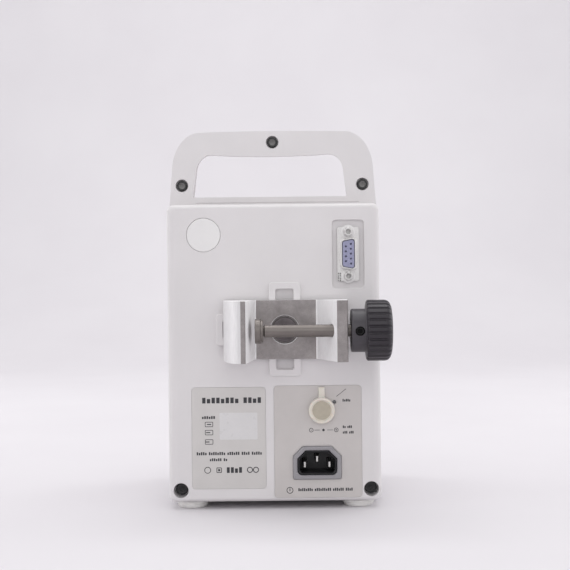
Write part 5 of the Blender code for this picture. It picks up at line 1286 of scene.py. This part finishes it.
def door():
    """Tray-shaped door with its hinge bore, latch recess and two notches for the tube."""
    low, high = node_box("door")
    pin = middle("door_hinge_pin")
    tube_x = middle("bubble_sensor").x
    latch_low, latch_high = node_box("latch_lever")
    bm = tool(add_loft, straight(sides(low.x, high.x, low.z, high.z, 2.0), low.y, high.y))
    bevel_where(bm, DOOR_EDGE, 8, lambda point: near(point.y, low.y))
    bevel_where(bm, DOOR_HEEL_EDGE, 5, lambda point: near(point.y, high.y) and point.x > high.x - 2.1)
    wall, heel, floor = TRAY
    tray = sides(low.x + wall, pin.x - heel, low.z + wall, high.z - wall, 1.0)
    recess = []
    for y, grow in from_face(low.y, LATCH_RECESS):
        spread = 0.4 + grow
        recess.append((y, sides(latch_low.x - spread, LATCH_RECESS_END + spread, latch_low.z - spread,
                                latch_high.z + spread, 1.0 + grow)))
    bore_rows = [(low.z - OVERCUT, PIN_BORE), (high.z + OVERCUT, PIN_BORE)]
    drill = ("Z", (pin.x, pin.y), bore_rows, COARSE_SEGMENTS)
    notch = sides(tube_x - NOTCH_HALF, tube_x + NOTCH_HALF, low.y + 7.4, high.y + 2.0, 0.8)
    ends = ((low.z - OVERCUT, low.z + NOTCH_LONG), (high.z - NOTCH_LONG, high.z + OVERCUT))
    tools = [less(add_loft, straight(tray, low.y + floor, high.y + OVERCUT)), less(add_loft, ("Y", recess)),
             less(add_turned, drill), less(add_loft, *[("Z", [(z, notch) for z in end]) for end in ends])]
    make_piece("door_moulding", bm, "abs", "door", tools, body="door")


# Latch lever: its pivot's radius and the grooves as (width, height, corner, first, pitch, count)
LATCH_PIVOT = 1.1
LATCH_GROOVES = (0.7, 22.0, 0.33, 3.0, 1.5, 5)


def latch_and_pin():
    """Door lever with finger grooves, and the hinge pin."""
    low, high = node_box("latch_lever")
    axis_x, axis_y = high.x - LATCH_PIVOT, low.y + LATCH_PIVOT
    outline = arc((axis_x, axis_y), (LATCH_PIVOT, LATCH_PIVOT), -90.0, 90.0, 16)
    outline += [(low.x + 3.0, high.y), (low.x + 1.2, axis_y + 0.6)]
    outline += arc((low.x + 0.35, axis_y), (0.35, 0.4), 90.0, 180.0, 4)
    outline += arc((low.x + 0.4, low.y + 0.4), (0.4, 0.4), 180.0, 270.0, 5)
    bm = tool(add_loft, ("Z", [(z, outline) for z in (low.z, high.z)]))
    bevel_where(bm, 0.3, 3, lambda point: near(point.z, low.z) or near(point.z, high.z))
    width, height, corner, first, pitch, count = LATCH_GROOVES
    spots = [(low.x + first + pitch * groove, (low.z + high.z) / 2.0) for groove in range(count)]
    grooves = [straight(rounded(width, height, corner, spot, 4), low.y - 0.5, low.y + 0.25) for spot in spots]
    make_piece("latch_lever_fine", bm, "key", "latch_lever", [less(add_loft, *grooves)], body="latch")
    low, high = node_box("door_hinge_pin")
    centre = middle("door_hinge_pin")
    profile = [(z, 1.1 - inset) for z, inset in rounding(low.z, high.z, 0.3, 3, both=True)]
    fine("door_hinge_pin", "plated", add_turned, "Z", (centre.x, centre.y), profile, COARSE_SEGMENTS)


# ---- carried-over parts

CARRIED = {
    "dc_jack": "black", "reset_button": "grey", "door_platen": "sheet", "bubble_sensor": "black",
    "mechanism_frame": "sheet", "camshaft": "plated", "cam_gear": "nylon", "motor": "dark",
    "motor_pinion": "plated", "main_board": "board", "power_module": "board", "battery_pack": "cell",
}


def dress_carried_nodes():
    """Gives the parts that keep their CAD shape their finish."""
    looks = dict(CARRIED, **{f"pump_finger_{number}": "nylon" for number in range(1, 7)})
    for node, look in looks.items():
        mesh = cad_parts[node].data
        mesh.materials.clear()
        mesh.materials.append(LOOKS[look])


# ---- stage, light and camera

# Seamless sheet: (near end, where it starts to rise, back), its half width, curve and height
SHEET_Y = (2.6, -1.1, -2.0)
SHEET_HALF = 3.2
SHEET_CURVE = (0.9, 0.9, 24)
SHEET_TOP = 3.2
PAPER = ((0.69, 0.668, 0.692), (0.715, 0.695, 0.717))


def make_floor():
    """Pale seamless sheet that rises behind the pump's front."""
    near_y, rise_y, back_y = SHEET_Y
    depth, height, steps = SHEET_CURVE
    profile = [(near_y, 0.0), (rise_y, 0.0)]
    for step in range(1, steps + 1):
        angle = math.radians(90.0 * step / steps)
        profile.append((rise_y - depth * math.sin(angle), height * (1.0 - math.cos(angle))))
    profile.append((back_y, SHEET_TOP))
    bm = bmesh.new()
    left, right = ([bm.verts.new((x, y, z)) for y, z in profile] for x in (-SHEET_HALF, SHEET_HALF))
    for i in range(len(profile) - 1):
        bm.faces.new((left[i], left[i + 1], right[i + 1], right[i]))
    floor = make_object("seamless_sheet", bm)
    floor.data.shade_smooth()
    look = Look("backdrop_paper", 0.75)
    look.colour(look.mix(look.ramp(look.noise(220.0, 3.0), 0.0, 1.0), *PAPER))
    look.bump(look.noise(1.5, 3.0), 0.02)
    floor.data.materials.append(look.material)


def make_light(name, location, target, size, power):
    """A soft rectangular light aimed at a point."""
    data = bpy.data.lights.new(name, "AREA")
    data.shape = "RECTANGLE"
    data.size, data.size_y = size
    data.energy = power
    made = bpy.data.objects.new(name, data)
    made.location = location
    made.rotation_euler = (Vector(target) - Vector(location)).to_track_quat("-Z", "Y").to_euler()
    bpy.context.scene.collection.objects.link(made)


# Softboxes, as (name, place, size, power), and what they are aimed at
LIGHT_AIM = (0.0, 0.0, 0.12)
LIGHTS = (
    ("top_softbox", (0.0, 0.1, 1.7), (1.8, 1.8), 12.5),
    ("rear_softbox", (0.0, 1.6, 0.8), (1.8, 1.2), 6.2),
    ("left_softbox", (1.5, 0.5, 0.7), (1.0, 1.4), 5.0),
    ("right_softbox", (-1.5, 0.5, 0.7), (1.0, 1.4), 5.0),
    ("left_rim", (1.1, -0.5, 0.5), (0.8, 1.0), 3.0),
    ("right_rim", (-1.1, -0.5, 0.5), (0.8, 1.0), 3.0),
)
SURROUNDING = ((0.94, 0.93, 0.96, 1.0), 0.49)
BACKDROP_LIGHT = ("backdrop_light", (0.0, -0.7, 1.9), (0.0, -2.0, 0.4), (2.8, 0.6), 15.5)


def make_lights():
    """Large softboxes above, at both sides and behind both sides, and an even grey surrounding."""
    for name, location, size, power in LIGHTS:
        make_light(name, location, LIGHT_AIM, size, power)
    make_light(*BACKDROP_LIGHT)
    world = bpy.data.worlds.new("surrounding")
    world.use_nodes = True
    background = world.node_tree.nodes["Background"]
    background.inputs["Color"].default_value, background.inputs["Strength"].default_value = SURROUNDING
    bpy.context.scene.world = world


CAMERA_PLACE = (-0.00485, 0.687, 0.1267)
CAMERA_ROLL = -0.6
LENS = 72.6
SENSOR = 36.0


def make_camera():
    """Camera level behind the pump, a little to the right of its middle."""
    data = bpy.data.cameras.new("camera")
    data.sensor_width, data.lens = SENSOR, LENS
    made = bpy.data.objects.new("camera", data)
    made.location = CAMERA_PLACE
    level = Matrix.Rotation(math.radians(180.0), 4, "Z") @ Matrix.Rotation(math.radians(90.0), 4, "X")
    made.rotation_euler = (level @ Matrix.Rotation(math.radians(CAMERA_ROLL), 4, "Z")).to_euler()
    bpy.context.scene.collection.objects.link(made)
    bpy.context.scene.camera = made


def build():
    """Makes every piece, the stage, the lights and the camera."""
    for make in (rear_shell, front_shell, shell_screws, feet, rating_label, inlet_label, blanking_plug,
                 serial_port, mains_inlet, dc_cap, clamp_bracket, clamp_bolt, clamp_rod, clamp_knob,
                 control_bezel, display, keys, door, latch_and_pin, dress_carried_nodes,
                 make_floor, make_lights, make_camera):
        make()
    bpy.context.scene.view_settings.view_transform = "Standard"


build()
